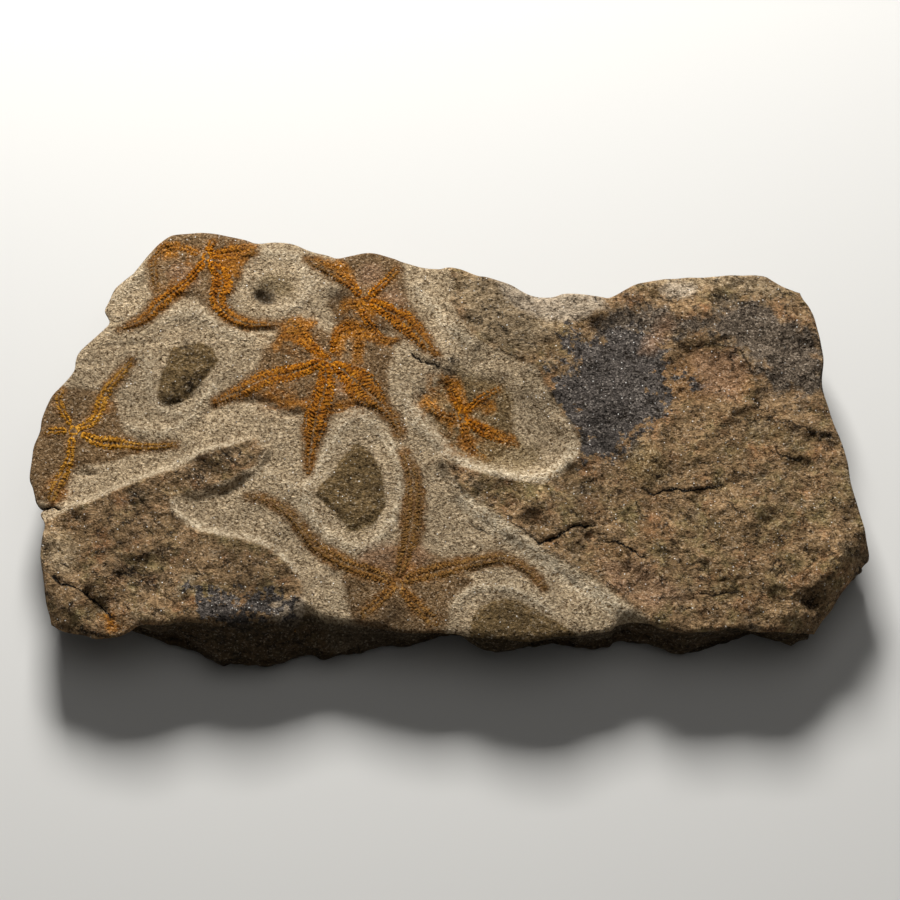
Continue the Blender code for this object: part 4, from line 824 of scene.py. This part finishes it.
PLATE_LINE_STEP = 0.5   # and the points of the lines that they are laid on
PLATE_ALONG = 0.34      # half the length of one plate along the arm
PLATE_LIFT = 0.16       # half its height
PLATE_SLANT = 0.45      # the rows of plates slant outward along the arm, in radians
PLATE_ROWS = ((0.42, 0.36), (0.9, 0.13))    # place and half width on each side, in half widths of the arm
PLATES_LOST = 0.16      # share of the plates that are missing
PLATE_UNEVENNESS = 0.42
DUST_GLOSS = 0.15       # dusty grains shine less than clean ones


def rock_under(tree, xy):
    """Height of the rock's face under each point, nothing beyond its edge."""
    heights = np.empty(len(xy))
    for k, (x, y) in enumerate(xy):
        hit = tree.ray_cast(Vector((x * MM, y * MM, 0.1)), Vector((0, 0, -1)))[0]
        heights[k] = hit.z / MM if hit else np.nan
    return heights


def arm_profile(distance, half):
    """Relief over an arm at a distance from its midline, where it has that half width."""
    across = np.clip(distance / half, 0, 1)
    rows = ARM_RELIEF * (1 - across ** 4) + ROW_RELIEF * np.exp(-((across - 0.5) / 0.24) ** 2)
    groove = GROOVE_DEPTH * np.exp(-(distance / GROOVE_WIDTH) ** 2)
    beyond = np.clip((distance - half) / 0.3, 0, 1)
    return rows - groove - beyond * (EDGE_DIVE + 0.1)


def star_relief(xy, name, centre, arms, seed):
    """Height of a star's body over the rock, how much painted shade its grooves, joints and mouth get, and
    how worn it is.
    """
    relief = np.full(len(xy), -9.0)
    groove = np.zeros(len(xy))
    worn = np.zeros(len(xy))
    ragged = layered(xy, (0.35, 1.1, seed), (0.25, 0.55, seed + 9))
    for number, arm in enumerate(arms):
        distance, _, half, along = arm_reach(xy, arm, 6)
        distance = distance + 0.7 * ragged
        place = along / PLATE_PITCH - 0.6 * np.abs(distance) / PLATE_PITCH
        joint = np.abs(2 * (place - np.floor(place)) - 1) ** 3
        start, end = WEAR.get((name, number), USUAL_WEAR)
        reach = along / max(along.max(), 1.0)
        wear_here = np.clip((start + (end - start) * reach ** 1.5) * (1 + 1.5 * ragged), 0, 1)
        arm_height = arm_profile(np.abs(distance), half) - JOINT_DEPTH * joint - WEAR_DEPTH * wear_here
        higher = arm_height > relief
        worn = np.where(higher, wear_here, worn)
        relief = np.where(higher, arm_height, relief)
        # painted shade in the groove along the midline and in the joints between plates
        dark = np.maximum(0.8 * np.exp(-(distance / GROOVE_WIDTH) ** 2), 0.8 * joint)
        groove = np.where(higher, dark, groove)
    from_mouth = np.hypot(xy[:, 0] - centre[0], xy[:, 1] - centre[1])
    disc = np.where(from_mouth + 1.5 * ragged < DISC_RADIUS, 0.6 * ARM_RELIEF, -9)
    relief = np.maximum(relief, disc) - MOUTH_DEPTH * np.exp(-(from_mouth / 0.6) ** 2)
    # and painted shade in the mouth
    groove = np.maximum(groove, np.exp(-(from_mouth / 0.8) ** 2))
    return relief + layered(xy, (0.2, 1.5, seed + 3), (0.2, 0.65, seed + 6)), groove, worn


def plate_rows(arm):
    """Lines of plates on one arm: their points, half width of the plates and the way they slant."""
    line = smooth_line(arm)
    length = np.linalg.norm(np.diff(line[:, :2], axis=0), axis=1).sum()
    line = resample(line, max(6, round(length / PLATE_LINE_STEP)))
    run = np.gradient(line[:, :2], axis=0)
    run /= np.linalg.norm(run, axis=1)[:, None]
    left = np.stack([-run[:, 1], run[:, 0]], axis=1)
    half = line[:, 2] / 2
    for side in (-1, 1):
        for place, reach in PLATE_ROWS:
            yield line[:, :2] + left * (half * place * side)[:, None], half * reach, side * PLATE_SLANT


def body_cells(on_star):
    """The cells of the star's grid whose four corners are all on the star, as corner numbers."""
    corners = (slice(None, -1), slice(None, -1)), (slice(None, -1), slice(1, None)), \
        (slice(1, None), slice(1, None)), (slice(1, None), slice(None, -1))
    number = np.arange(on_star.size).reshape(on_star.shape)
    kept = np.logical_and.reduce([on_star[at] for at in corners])
    return np.stack([number[at] for at in corners], axis=-1)[kept]


def compact(faces):
    """The corners that the faces use, and the faces renumbered to match."""
    used, faces = np.unique(faces, return_inverse=True)
    return used, faces.reshape(-1, 4)


def rim_walls(faces, count):
    """Faces that join the outline of a sheet to that of its copy, whose corners come count later."""
    sides = np.concatenate([faces[:, [k, (k + 1) % 4]] for k in range(4)])
    _, first, times_used = np.unique(np.sort(sides, axis=1), axis=0, return_index=True, return_counts=True)
    rim = sides[first[times_used == 1]]
    return np.column_stack([rim[:, 1], rim[:, 0], rim[:, 0] + count, rim[:, 1] + count])


def make_star_shell(tree, name, centre, arms, seed):
    """A star's body as a closed mesh over the rock, with the lines that its plates will follow."""
    reach = np.vstack([np.array(arm, float)[:, :2] for arm in arms])
    low, high = reach.min(axis=0) - STAR_MARGIN, reach.max(axis=0) + STAR_MARGIN
    plan = np.stack(np.meshgrid(*(np.arange(a, b, STAR_CELL) for a, b in zip(low, high))), axis=-1)
    xy = plan.reshape(-1, 2)
    relief, groove, worn = star_relief(xy, name, centre, arms, seed)
    used, faces = compact(body_cells(relief.reshape(plan.shape[:2]) > -EDGE_DIVE))
    ground = rock_under(tree, xy[used])
    on_rock, faces = compact(faces[~np.isnan(ground[faces]).any(axis=1)])
    used, ground = used[on_rock], ground[on_rock]
    count = len(used)
    top = np.column_stack([xy[used], ground + relief[used]])
    foot = np.column_stack([xy[used], ground - BODY_THICKNESS])
    all_faces = np.vstack([faces, faces[:, ::-1] + count, rim_walls(faces, count)])

    verts, edges = [top, foot], []
    tone_and_light = toned_and_lit(xy[used])
    kept = {"plate_half_width": [np.zeros(2 * count)], "plate_slant": [np.zeros(2 * count)],
            "groove": [groove[used], np.ones(count)], "worn": [worn[used]] * 2, "tone_and_light": [tone_and_light] * 2}
    start = 2 * count
    for arm in arms:
        for points, half_width, turn in plate_rows(arm):
            lift, _, fade = star_relief(points, name, centre, arms, seed)
            z = rock_under(tree, points) + np.clip(lift, 0, None) - 0.1 * fade
            here = ~np.isnan(z)
            points, z = points[here], z[here]
            verts.append(np.column_stack([points, z]))
            kept["plate_half_width"].append(half_width[here])
            kept["plate_slant"].append(np.full(len(z), turn))
            kept["groove"].append(np.zeros(len(z)))
            kept["worn"].append(fade[here])
            kept["tone_and_light"].append(toned_and_lit(points))
            edges += [(start + k, start + k + 1) for k in range(len(z) - 1)]
            start += len(z)
    mesh = bpy.data.meshes.new(name + "_shell")
    mesh.from_pydata((np.vstack(verts) * MM).tolist(), edges, all_faces.tolist())
    for attribute, values in kept.items():
        set_values(mesh, attribute, np.concatenate(values))
    mesh.polygons.foreach_set("use_smooth", np.ones(len(mesh.polygons), dtype=bool))
    return mesh


# ---------------------------------------------------------------- nodes
def add(tree, kind, inputs=None, **settings):
    """Adds a node with its settings; an input is either a value or the output that feeds it."""
    node = tree.nodes.new(kind)
    for name, value in settings.items():
        setattr(node, name, value)
    for name, value in (inputs or {}).items():
        if isinstance(value, bpy.types.NodeSocket):
            tree.links.new(value, node.inputs[name])
        else:
            node.inputs[name].default_value = value
    return node


def calc(tree, operation, *values):
    """Arithmetic on one to three numbers."""
    return add(tree, "ShaderNodeMath", dict(enumerate(values)), operation=operation).outputs[0]


def times(tree, first, second):
    """The product of two numbers."""
    return calc(tree, "MULTIPLY", first, second)


def scaled(tree, vector, factor):
    """A vector or colour made longer or brighter."""
    return add(tree, "ShaderNodeVectorMath", {0: vector, "Scale": factor}, operation="SCALE").outputs[0]


def clouds(tree, place, scale, detail, rough=0.5, twist=0.0):
    """A noise texture's value and colour."""
    return add(tree, "ShaderNodeTexNoise", {"Vector": place, "Scale": scale, "Detail": detail,
                                            "Roughness": rough, "Distortion": twist}).outputs


def cells(tree, place, scale, feature="F1"):
    """A Voronoi texture's distance and colour."""
    return add(tree, "ShaderNodeTexVoronoi", {"Vector": place, "Scale": scale}, feature=feature).outputs


def channels(tree, colour):
    """A colour's red, green and blue, used as three patterns."""
    return add(tree, "ShaderNodeSeparateColor", {0: colour}).outputs


def between(tree, share, first, second):
    """A mix of two patterns."""
    return add(tree, "ShaderNodeMix", {0: share, 2: first, 3: second}, data_type="FLOAT").outputs[0]


def over(tree, amount, below, above):
    """A colour with another laid over it."""
    return add(tree, "ShaderNodeMix", {0: amount, 6: below, 7: above}, data_type="RGBA").outputs[2]


def chance(tree, seed, low=0.0, high=1.0):
    """A random number for every plate."""
    return add(tree, "FunctionNodeRandomValue", {2: low, 3: high, "Seed": seed},
               data_type="FLOAT").outputs[1]


def plate_tree():
    """Lays plates along the lines in a star's mesh, in rows that slant away from the arm's midline."""
    tree = bpy.data.node_groups.new("ossicles_along_arms", "GeometryNodeTree")
    sockets = (
        ("Geometry", "NodeSocketGeometry", None),
        ("Spacing", "NodeSocketFloat", PLATE_PITCH * MM),
        ("Half length", "NodeSocketFloat", PLATE_ALONG * MM),
        ("Half height", "NodeSocketFloat", PLATE_LIFT * MM),
        ("Lost plates", "NodeSocketFloat", PLATES_LOST),
        ("Unevenness", "NodeSocketFloat", PLATE_UNEVENNESS),
        ("Seed", "NodeSocketInt", 1),
        ("Finish", "NodeSocketMaterial", None),
    )
    for name, kind, value in sockets:
        socket = tree.interface.new_socket(name, in_out="INPUT", socket_type=kind)
        if value is not None:
            socket.default_value = value
    tree.interface.new_socket("Geometry", in_out="OUTPUT", socket_type="NodeSocketGeometry")
    given = add(tree, "NodeGroupInput").outputs
    width, slant = (
        add(tree, "GeometryNodeInputNamedAttribute", {"Name": name}, data_type="FLOAT").outputs[0]
        for name in ("plate_half_width", "plate_slant"))
    is_line = add(tree, "FunctionNodeCompare", {0: width, 1: 0.0}, data_type="FLOAT",
                  operation="GREATER_THAN").outputs[0]
    parts = add(tree, "GeometryNodeSeparateGeometry", {"Geometry": given["Geometry"], "Selection": is_line},
                domain="POINT").outputs
    lines = add(tree, "GeometryNodeMeshToCurve", {"Mesh": parts["Selection"]}).outputs[0]
    beads = add(tree, "GeometryNodeResampleCurve", {"Curve": lines, "Length": given["Spacing"]},
                mode="LENGTH").outputs[0]
    points = add(tree, "GeometryNodeCurveToPoints", {"Curve": beads}, mode="EVALUATED").outputs

    plate = add(tree, "GeometryNodeMeshUVSphere", {"Segments": 8, "Rings": 5, "Radius": 1.0}).outputs[0]
    size = add(tree, "ShaderNodeCombineXYZ", {
        0: times(tree, given["Half length"], chance(tree, given["Seed"], 0.75, 1.2)),
        1: times(tree, width, MM), 2: given["Half height"]}).outputs[0]
    heading = add(tree, "FunctionNodeAlignRotationToVector", {"Vector": points["Tangent"]}, axis="X",
                  pivot_axis="Z").outputs[0]
    turn = add(tree, "ShaderNodeCombineXYZ", {2: slant}).outputs[0]
    heading = add(tree, "FunctionNodeRotateRotation", {"Rotation": heading, "Rotate By": turn},
                  rotation_space="GLOBAL").outputs[0]
    missing = add(tree, "FunctionNodeRandomValue", {
        "Probability": given["Lost plates"], "Seed": given["Seed"]}, data_type="BOOLEAN").outputs[3]
    present = add(tree, "FunctionNodeBooleanMath", {0: missing}, operation="NOT").outputs[0]
    rows = add(tree, "GeometryNodeInstanceOnPoints", {
        "Points": points["Points"], "Selection": present, "Instance": plate, "Rotation": heading,
        "Scale": size}).outputs[0]
    toned_rows = add(tree, "GeometryNodeStoreNamedAttribute", {
        "Geometry": rows, "Name": "plate_tone", "Value": chance(tree, given["Seed"])},
        data_type="FLOAT", domain="INSTANCE").outputs[0]
    solid = add(tree, "GeometryNodeRealizeInstances", {"Geometry": toned_rows}).outputs[0]
    where = add(tree, "GeometryNodeInputPosition").outputs[0]
    bumps = clouds(tree, where, 1500.0, 1.0)["Color"]
    centred = add(tree, "ShaderNodeVectorMath", {0: bumps, 1: (0.5, 0.5, 0.5)},
                  operation="SUBTRACT").outputs[0]
    shift = scaled(tree, centred, times(tree, given["Unevenness"], MM))
    worn = add(tree, "GeometryNodeSetPosition", {"Geometry": solid, "Offset": shift}).outputs[0]
    smooth = add(tree, "GeometryNodeSetShadeSmooth", {"Geometry": worn, "Shade Smooth": True}).outputs[0]
    star = add(tree, "GeometryNodeJoinGeometry", {"Geometry": parts["Inverted"]})
    tree.links.new(smooth, star.inputs["Geometry"])
    real = add(tree, "GeometryNodeRealizeInstances", {"Geometry": star.outputs[0]}).outputs[0]
    done = add(tree, "GeometryNodeSetMaterial", {"Geometry": real, "Material": given["Finish"]}).outputs[0]
    add(tree, "NodeGroupOutput", {"Geometry": done})
    return tree


# ---------------------------------------------------------------- finishes
def paint(hex_code):
    """An sRGB hex value as the linear colour that a finish uses."""
    values = [int(hex_code[k:k + 2], 16) / 255 for k in (1, 3, 5)]
    return tuple(v / 12.92 if v <= 0.04045 else ((v + 0.055) / 1.055) ** 2.4 for v in values) + (1.0,)


def start_finish(name):
    """A new finish: its material, its nodes, its shader and the place on the piece in millimetres."""
    made = bpy.data.materials.new(name)
    made.use_nodes = True
    tree = made.node_tree
    here = add(tree, "ShaderNodeTexCoord").outputs["Object"]
    mm = add(tree, "ShaderNodeMapping", {"Vector": here, "Scale": (1000, 1000, 1000)}).outputs[0]
    surface = tree.nodes["Principled BSDF"]
    surface.inputs["Specular IOR Level"].default_value = DUST_GLOSS
    return made, tree, surface, mm


def stored(tree, name):
    """A number that the mesh keeps for each vertex."""
    return add(tree, "ShaderNodeAttribute", attribute_name=name).outputs["Fac"]


def spread(tree, pattern, low, high, start=0.0, end=1.0):
    """A pattern's values from low to high opened out to 0 to 1, or from start to end."""
    return add(tree, "ShaderNodeMapRange", {"Value": pattern, "From Min": low, "From Max": high,
                                            "To Min": start, "To Max": end}).outputs[0]


def zone(tree, name, soft, ragged, pattern, strength=1.0):
    """The strength where a stored distance is positive and 0 elsewhere, with a soft, ragged border (mm)."""
    waver = calc(tree, "SUBTRACT", pattern, 0.5)
    distance = calc(tree, "MULTIPLY_ADD", waver, ragged, stored(tree, name))
    return spread(tree, distance, -soft, soft, 0.0, strength)


def bedding_chips(tree, mm):
    """Chips 2 to 5 mm wide that the old face breaks into, drawn out along the bedding's own grain."""
    shift = scaled(tree, clouds(tree, mm, 0.45, 3, 0.7)[1], 5.0)
    moved = add(tree, "ShaderNodeVectorMath", {0: mm, 1: shift}, operation="ADD").outputs[0]
    along = add(tree, "ShaderNodeMapping", {"Vector": moved, "Rotation": (0, 0, math.radians(-30)),
                                            "Scale": (2.0, 1, 1)}, vector_type="TEXTURE").outputs[0]
    large, small = (cells(tree, along, scale)["Color"] for scale in (0.2, 0.55))
    seams = spread(tree, cells(tree, along, 0.2, "DISTANCE_TO_EDGE")[0], 0.09, 0.0)
    return channels(tree, over(tree, 0.45, large, small)), seams


def crack_shade_lines(tree, sand):
    """Painted shade in the cracks: dark ragged lines half a millimetre wide."""
    away = calc(tree, "MULTIPLY_ADD", calc(tree, "SUBTRACT", sand, 0.5), 0.8, stored(tree, "crack"))
    line = spread(tree, calc(tree, "ABSOLUTE", away), 0.42, 0.18)
    return times(tree, line, spread(tree, stored(tree, "opening"), 0.2, 1.1))


def mica_flakes_and_glints(tree, mm):
    """Flakes of mica, 0.1 to 0.2 mm in the rock, drawn 0.25 mm wide so that they show, and painted
    near-white as glints.
    """
    flakes = cells(tree, mm, 0.85)
    lit = spread(tree, channels(tree, flakes["Color"])[0], 0.78, 0.92)
    on_face = calc(tree, "MULTIPLY_ADD", stored(tree, "side"), -0.85, 1.0)
    return times(tree, times(tree, spread(tree, flakes["Distance"], 0.2, 0.1), lit), on_face)


def rock_finish():
    """Ferruginous sandstone, weathered brown and scribed pale: matt, sandy, with glints of mica."""
    made, tree, surface, mm = start_finish("scribed_ferruginous_sandstone")
    # Sand grains are 0.1 to 0.3 mm; they are drawn in clumps of 0.5 mm so that they show
    grains = spread(tree, channels(tree, cells(tree, mm, 1.75)["Color"])[0], 0, 1, 0.28, 0.72)
    sand = between(tree, 0.5, clouds(tree, mm, 1.9, 2, 0.6)[0], grains)
    dents = clouds(tree, mm, 1.1, 3, 0.7, 0.6)[0]
    stretched = add(tree, "ShaderNodeMapping", {"Vector": mm, "Scale": (0.75, 1, 1)}).outputs[0]
    streaks = clouds(tree, stretched, 0.9, 4, 0.7)[0]
    blots = clouds(tree, mm, 0.3, 4, 0.68)[0]
    broad = channels(tree, clouds(tree, mm, 0.13, 4, 0.66)[1])
    patches = clouds(tree, mm, 0.06, 2, 0.6)[0]
    chips, seams = bedding_chips(tree, mm)
    both_sizes = between(tree, 0.6, sand, streaks)
    mottled = between(tree, 0.5, blots, broad[1])
    # The three patterns that a finish's dark and light are mixed by
    fine = spread(tree, sand, 0.34, 0.66)
    strokes = spread(tree, between(tree, 0.6, sand, dents), 0.37, 0.63)
    grain = spread(tree, both_sizes, 0.37, 0.63)

    shade = spread(tree, both_sizes, 0.6, 0.42, 0.35)
    scribed = zone(tree, "scribed", 0.7, 2.4, blots)
    old_face = calc(tree, "SUBTRACT", 1.0, scribed)
    fresh_and_highlight = spread(tree, times(tree, stored(tree, "fresh_and_highlight"), scribed), 0.1, 0.95)
    rust_skin = times(tree, zone(tree, "rust_skin", 1.0, 5.0, blots), spread(tree, both_sizes, 0.36, 0.5))
    rust_stain = times(tree, stored(tree, "rust"), spread(tree, blots, 0.4, 0.62))
    halo = times(tree, spread(tree, stored(tree, "star"), -1.5, -0.2),
                 spread(tree, blots, 0.42, 0.66, 0, 0.55))
    hollow_shade = spread(tree, stored(tree, "hollow_shade"), 0.4, 1.6)
    seams = times(tree, times(tree, seams, spread(tree, blots, 0.45, 0.6)), old_face)
    # Dark and light of each layer, the pattern between them, and where it lies over those before it
    layers = (
        ("#3a2812", "#c09c71", grain, 1.0),
        ("#43290f", "#c18b5d", grain, spread(tree, broad[0], 0.52, 0.72)),
        ("#392c10", "#ab9666", grain, spread(tree, broad[1], 0.5, 0.7)),
        ("#453521", "#b49e80", grain, spread(tree, broad[2], 0.56, 0.76)),
        ("#2a1c09", "#7e6542", grain, spread(tree, chips[1], 0.6, 0.25, 0, 0.45)),
        # worn skin, and painted highlight along the back edge
        ("#4b3719", "#cbb08a", grain, zone(tree, "worn_and_highlit_skin", 2.0, 7.0, blots)),
        # pale skin, partly painted highlight along the back edge
        ("#66543f", "#e2ccae", grain, zone(tree, "pale_skin", 1.0, 4.0, blots)),
        ("#4a2f12", "#b28a5e", grain, zone(tree, "red_skin", 1.5, 7.0, blots)),
        ("#1f1710", "#887764", fine, zone(tree, "thin_skin", 2.0, 32.0, mottled)),
        ("#13100c", "#766c64", fine, zone(tree, "dark_skin", 1.0, 52.0, mottled)),
        ("#4a3214", "#e2c8a1", strokes, scribed),
        # freshly cut rock, with painted highlight on ridges and rims
        ("#745731", "#fbe7c4", strokes, fresh_and_highlight),
        ("#281a05", "#90764e", grain, zone(tree, "island", 0.4, 1.4, blots)),
        ("#422b10", "#9d7f5a", fine, zone(tree, "mound", 0.8, 2.6, blots)),
        ("#3d290c", "#a58d62", fine, zone(tree, "olive_skin", 1.5, 6.0, blots, 0.65)),
        ("#6b4c33", "#c49c79", fine, zone(tree, "pink_skin", 1.5, 5.0, blots, 0.6)),
        ("#5a2a00", "#cf861c", fine, rust_skin),
        ("#5a2c02", "#b97e38", fine, rust_stain),
        ("#582c04", "#b47a34", fine, halo),
        # the sides are painted darker: partly the broken rock's own colour, partly painted shade
        ("#1f170c", "#4a3c28", grain, times(tree, stored(tree, "side"), 0.85)),
        # dark stains, with painted shade in pits and under rims
        ("#1c150d", "#2f2417", fine, times(tree, stored(tree, "dark_stain_and_shade"), shade)),
        # painted shade in hollows, by how far each lies below the face around it
        ("#1d150c", "#32251a", fine, times(tree, hollow_shade, shade)),
        # painted shade in the cracks
        ("#140c04", "#140c04", fine, crack_shade_lines(tree, sand)),
        # painted shade in the pit, with a brown stain
        ("#1a1208", "#4c3d29", fine, zone(tree, "pit", 1.2, 6.0, sand)),
        # painted shade in the small pits between the grains
        ("#1f1305", "#1f1305", fine, spread(tree, both_sizes, 0.43, 0.35, 0, 0.52)),
        ("#1d1409", "#1d1409", fine, seams),
        # pale grains painted near-white as highlights
        ("#efe2cd", "#efe2cd", fine, spread(tree, sand, 0.58, 0.74, 0, 0.42)),
    )
    colour = paint("#6b573c")
    for dark, light, pattern, amount in layers:
        colour = over(tree, amount, colour, over(tree, pattern, paint(dark), paint(light)))
    # Whole areas are dimmer or brighter, by weathering and by how much dust lies in them, and by the stored
    # tone, which is partly painted light and shade
    weather = spread(tree, patches, 0.35, 0.65, 0.88, 1.12)
    colour = scaled(tree, colour, calc(tree, "ADD", weather, stored(tree, "tone_and_light")))
    # pale mica flakes, painted near-white as glints, and smoother
    mica_and_glints = mica_flakes_and_glints(tree, mm)
    tree.links.new(over(tree, mica_and_glints, colour, paint("#fbf6ec")), surface.inputs["Base Color"])
    tree.links.new(spread(tree, mica_and_glints, 0, 1, 0.92, 0.35), surface.inputs["Roughness"])
    # Height of the grain, in millimetres
    height = times(tree, sand, 0.75)
    rough = between(tree, scribed, both_sizes, dents)
    for pattern, depth in ((rough, 1.5), (times(tree, chips[0], old_face), 0.9)):
        height = calc(tree, "MULTIPLY_ADD", pattern, depth, height)
    bump = add(tree, "ShaderNodeBump", {"Height": height, "Strength": 1.0, "Distance": MM}).outputs[0]
    tree.links.new(bump, surface.inputs["Normal"])
    return made


def fossil_finish(name, dark, mid, light):
    """Limonite, the rust-like iron oxide that took the place of the skeleton: matt, granular, orange."""
    made, tree, surface, mm = start_finish(name)
    crumbs = clouds(tree, mm, 1.7, 3, 0.7)[0]
    blots = clouds(tree, mm, 0.35, 4, 0.65)[0]
    worn = stored(tree, "worn")
    layers = (
        (mid, spread(tree, crumbs, 0.38, 0.55)),
        (light, times(tree, spread(tree, blots, 0.4, 0.75), spread(tree, crumbs, 0.45, 0.62))),
        (dark, spread(tree, blots, 0.46, 0.3, 0, 0.6)),
        (dark, spread(tree, stored(tree, "plate_tone"), 0.5, 1.0, 0, 0.55)),
        # painted shade in the grooves, joints and mouth
        (dark, times(tree, stored(tree, "groove"), 0.9)),
        ("#35220c", times(tree, worn, 0.8)),
        ("#92703f", times(tree, worn, spread(tree, crumbs, 0.38, 0.6))),
    )
    colour = paint(dark)
    for above, amount in layers:
        colour = over(tree, amount, colour, paint(above))
    # brighter or dimmer by the stored tone, partly painted light and shade
    colour = scaled(tree, colour, calc(tree, "ADD", stored(tree, "tone_and_light"), 1.0))
    tree.links.new(colour, surface.inputs["Base Color"])
    surface.inputs["Roughness"].default_value = 0.88
    bump = add(tree, "ShaderNodeBump", {"Height": crumbs, "Strength": 0.8, "Distance": 0.6 * MM}).outputs[0]
    tree.links.new(bump, surface.inputs["Normal"])
    return made


def plain_finish(name, hex_code, roughness_value):
    """A plain painted surface, for the floor alone."""
    made = bpy.data.materials.new(name)
    made.use_nodes = True
    surface = made.node_tree.nodes["Principled BSDF"]
    surface.inputs["Base Color"].default_value = paint(hex_code)
    surface.inputs["Roughness"].default_value = roughness_value
    return made


# ---------------------------------------------------------------- the pieces
def place_piece(name, mesh, node, slot):
    """Puts a finished mesh in the scene in place of a solid."""
    piece = bpy.data.objects.new(name, mesh)
    bpy.context.scene.collection.objects.link(piece)
    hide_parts(node)
    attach(piece, "root")
    return piece


rock_mesh = make_slab()
rock_mesh.materials.append(rock_finish())
place_piece("sandstone_slab_rock", rock_mesh, "sandstone_slab", "sandstone")
rock_tree = BVHTree.FromPolygons([v.co.copy() for v in rock_mesh.vertices],
                                 [p.vertices[:] for p in rock_mesh.polygons if len(p.vertices) == 4])

orange = fossil_finish("limonite_fossil_orange", "#421c00", "#b06806", "#e09c28")
ochre = fossil_finish("limonite_fossil_ochre", "#502b01", "#bd811c", "#eeb855")
brown = fossil_finish("limonite_fossil_brown", "#301800", "#936124", "#caa05e")
STAR_FINISH = {
    "brittle_star_left": (ochre, "fossil_ochre"),
    "brittle_star_front": (brown, "fossil_brown"),
}
ossicles = plate_tree()
socket_of = {item.name: item.identifier for item in ossicles.interface.items_tree if item.in_out == "INPUT"}


def with_plates(shell, seed, finish):
    """The star's mesh with its plates laid along its lines."""
    draft = bpy.data.objects.new("draft", shell)
    bpy.context.scene.collection.objects.link(draft)
    growth = draft.modifiers.new("ossicles", "NODES")
    growth.node_group = ossicles
    growth[socket_of["Seed"]] = seed
    growth[socket_of["Finish"]] = finish
    whole = bpy.data.meshes.new_from_object(draft.evaluated_get(bpy.context.evaluated_depsgraph_get()))
    bpy.data.objects.remove(draft, do_unlink=True)
    return whole


for seed, (node, (centre, arms)) in enumerate(STARS.items(), start=3):
    finish, slot = STAR_FINISH.get(node, (orange, "fossil_iron_oxide"))
    whole = with_plates(make_star_shell(rock_tree, node, centre, arms, float(seed)), seed, finish)
    whole.name = node + "_fossil"
    place_piece(node + "_fossil", whole, node, slot)

# ---------------------------------------------------------------- floor, light and camera
SLAB_MIDDLE = Vector((0, 0, 0.02))
FLOOR_REACH = 3
ROOM_LIGHT = 0.045
floor_mesh = bpy.data.meshes.new("floor")
floor_mesh.from_pydata([(-FLOOR_REACH, -FLOOR_REACH, 0), (FLOOR_REACH, -FLOOR_REACH, 0),
                        (FLOOR_REACH, FLOOR_REACH, 0), (-FLOOR_REACH, FLOOR_REACH, 0)], [], [(0, 1, 2, 3)])
floor_mesh.materials.append(plain_finish("pale_matt_paper", "#d9d7d2", 0.9))
floor = bpy.data.objects.new("floor", floor_mesh)
bpy.context.scene.collection.objects.link(floor)


def add_lamp(name, watts, size, place):
    """A square soft lamp that faces the middle of the slab."""
    lamp = bpy.data.lights.new(name, "AREA")
    lamp.energy = watts
    lamp.size = size
    item = bpy.data.objects.new(name, lamp)
    item.location = place
    item.rotation_euler = (SLAB_MIDDLE - Vector(place)).to_track_quat("-Z", "Y").to_euler()
    bpy.context.scene.collection.objects.link(item)


add_lamp("key_from_behind", 12.5, 0.26, (-0.10, 0.68, 0.56))
add_lamp("fill_above", 1.2, 0.8, (0.1, 0.1, 1.1))
world = bpy.data.worlds.new("studio")
world.use_nodes = True
background = world.node_tree.nodes["Background"]
background.inputs["Color"].default_value = (1, 1, 1, 1)
background.inputs["Strength"].default_value = ROOM_LIGHT
bpy.context.scene.world = world
bpy.context.scene.view_settings.view_transform = "Standard"

# The camera looks down at 70 degrees, from 1.2 m
CAMERA_TILT = math.radians(20)
CAMERA_DISTANCE = 1.2
CAMERA_LENS = 168.2
LOOK_AT = Vector((0, -0.0045, 0.024))
camera_data = bpy.data.cameras.new("camera")
camera_data.sensor_width = 36
camera_data.lens = CAMERA_LENS
camera = bpy.data.objects.new("camera", camera_data)
camera.rotation_euler = (CAMERA_TILT, 0, 0)
back = Vector((0, -math.sin(CAMERA_TILT), math.cos(CAMERA_TILT)))
camera.location = LOOK_AT + back * CAMERA_DISTANCE
bpy.context.scene.collection.objects.link(camera)
bpy.context.scene.camera = camera
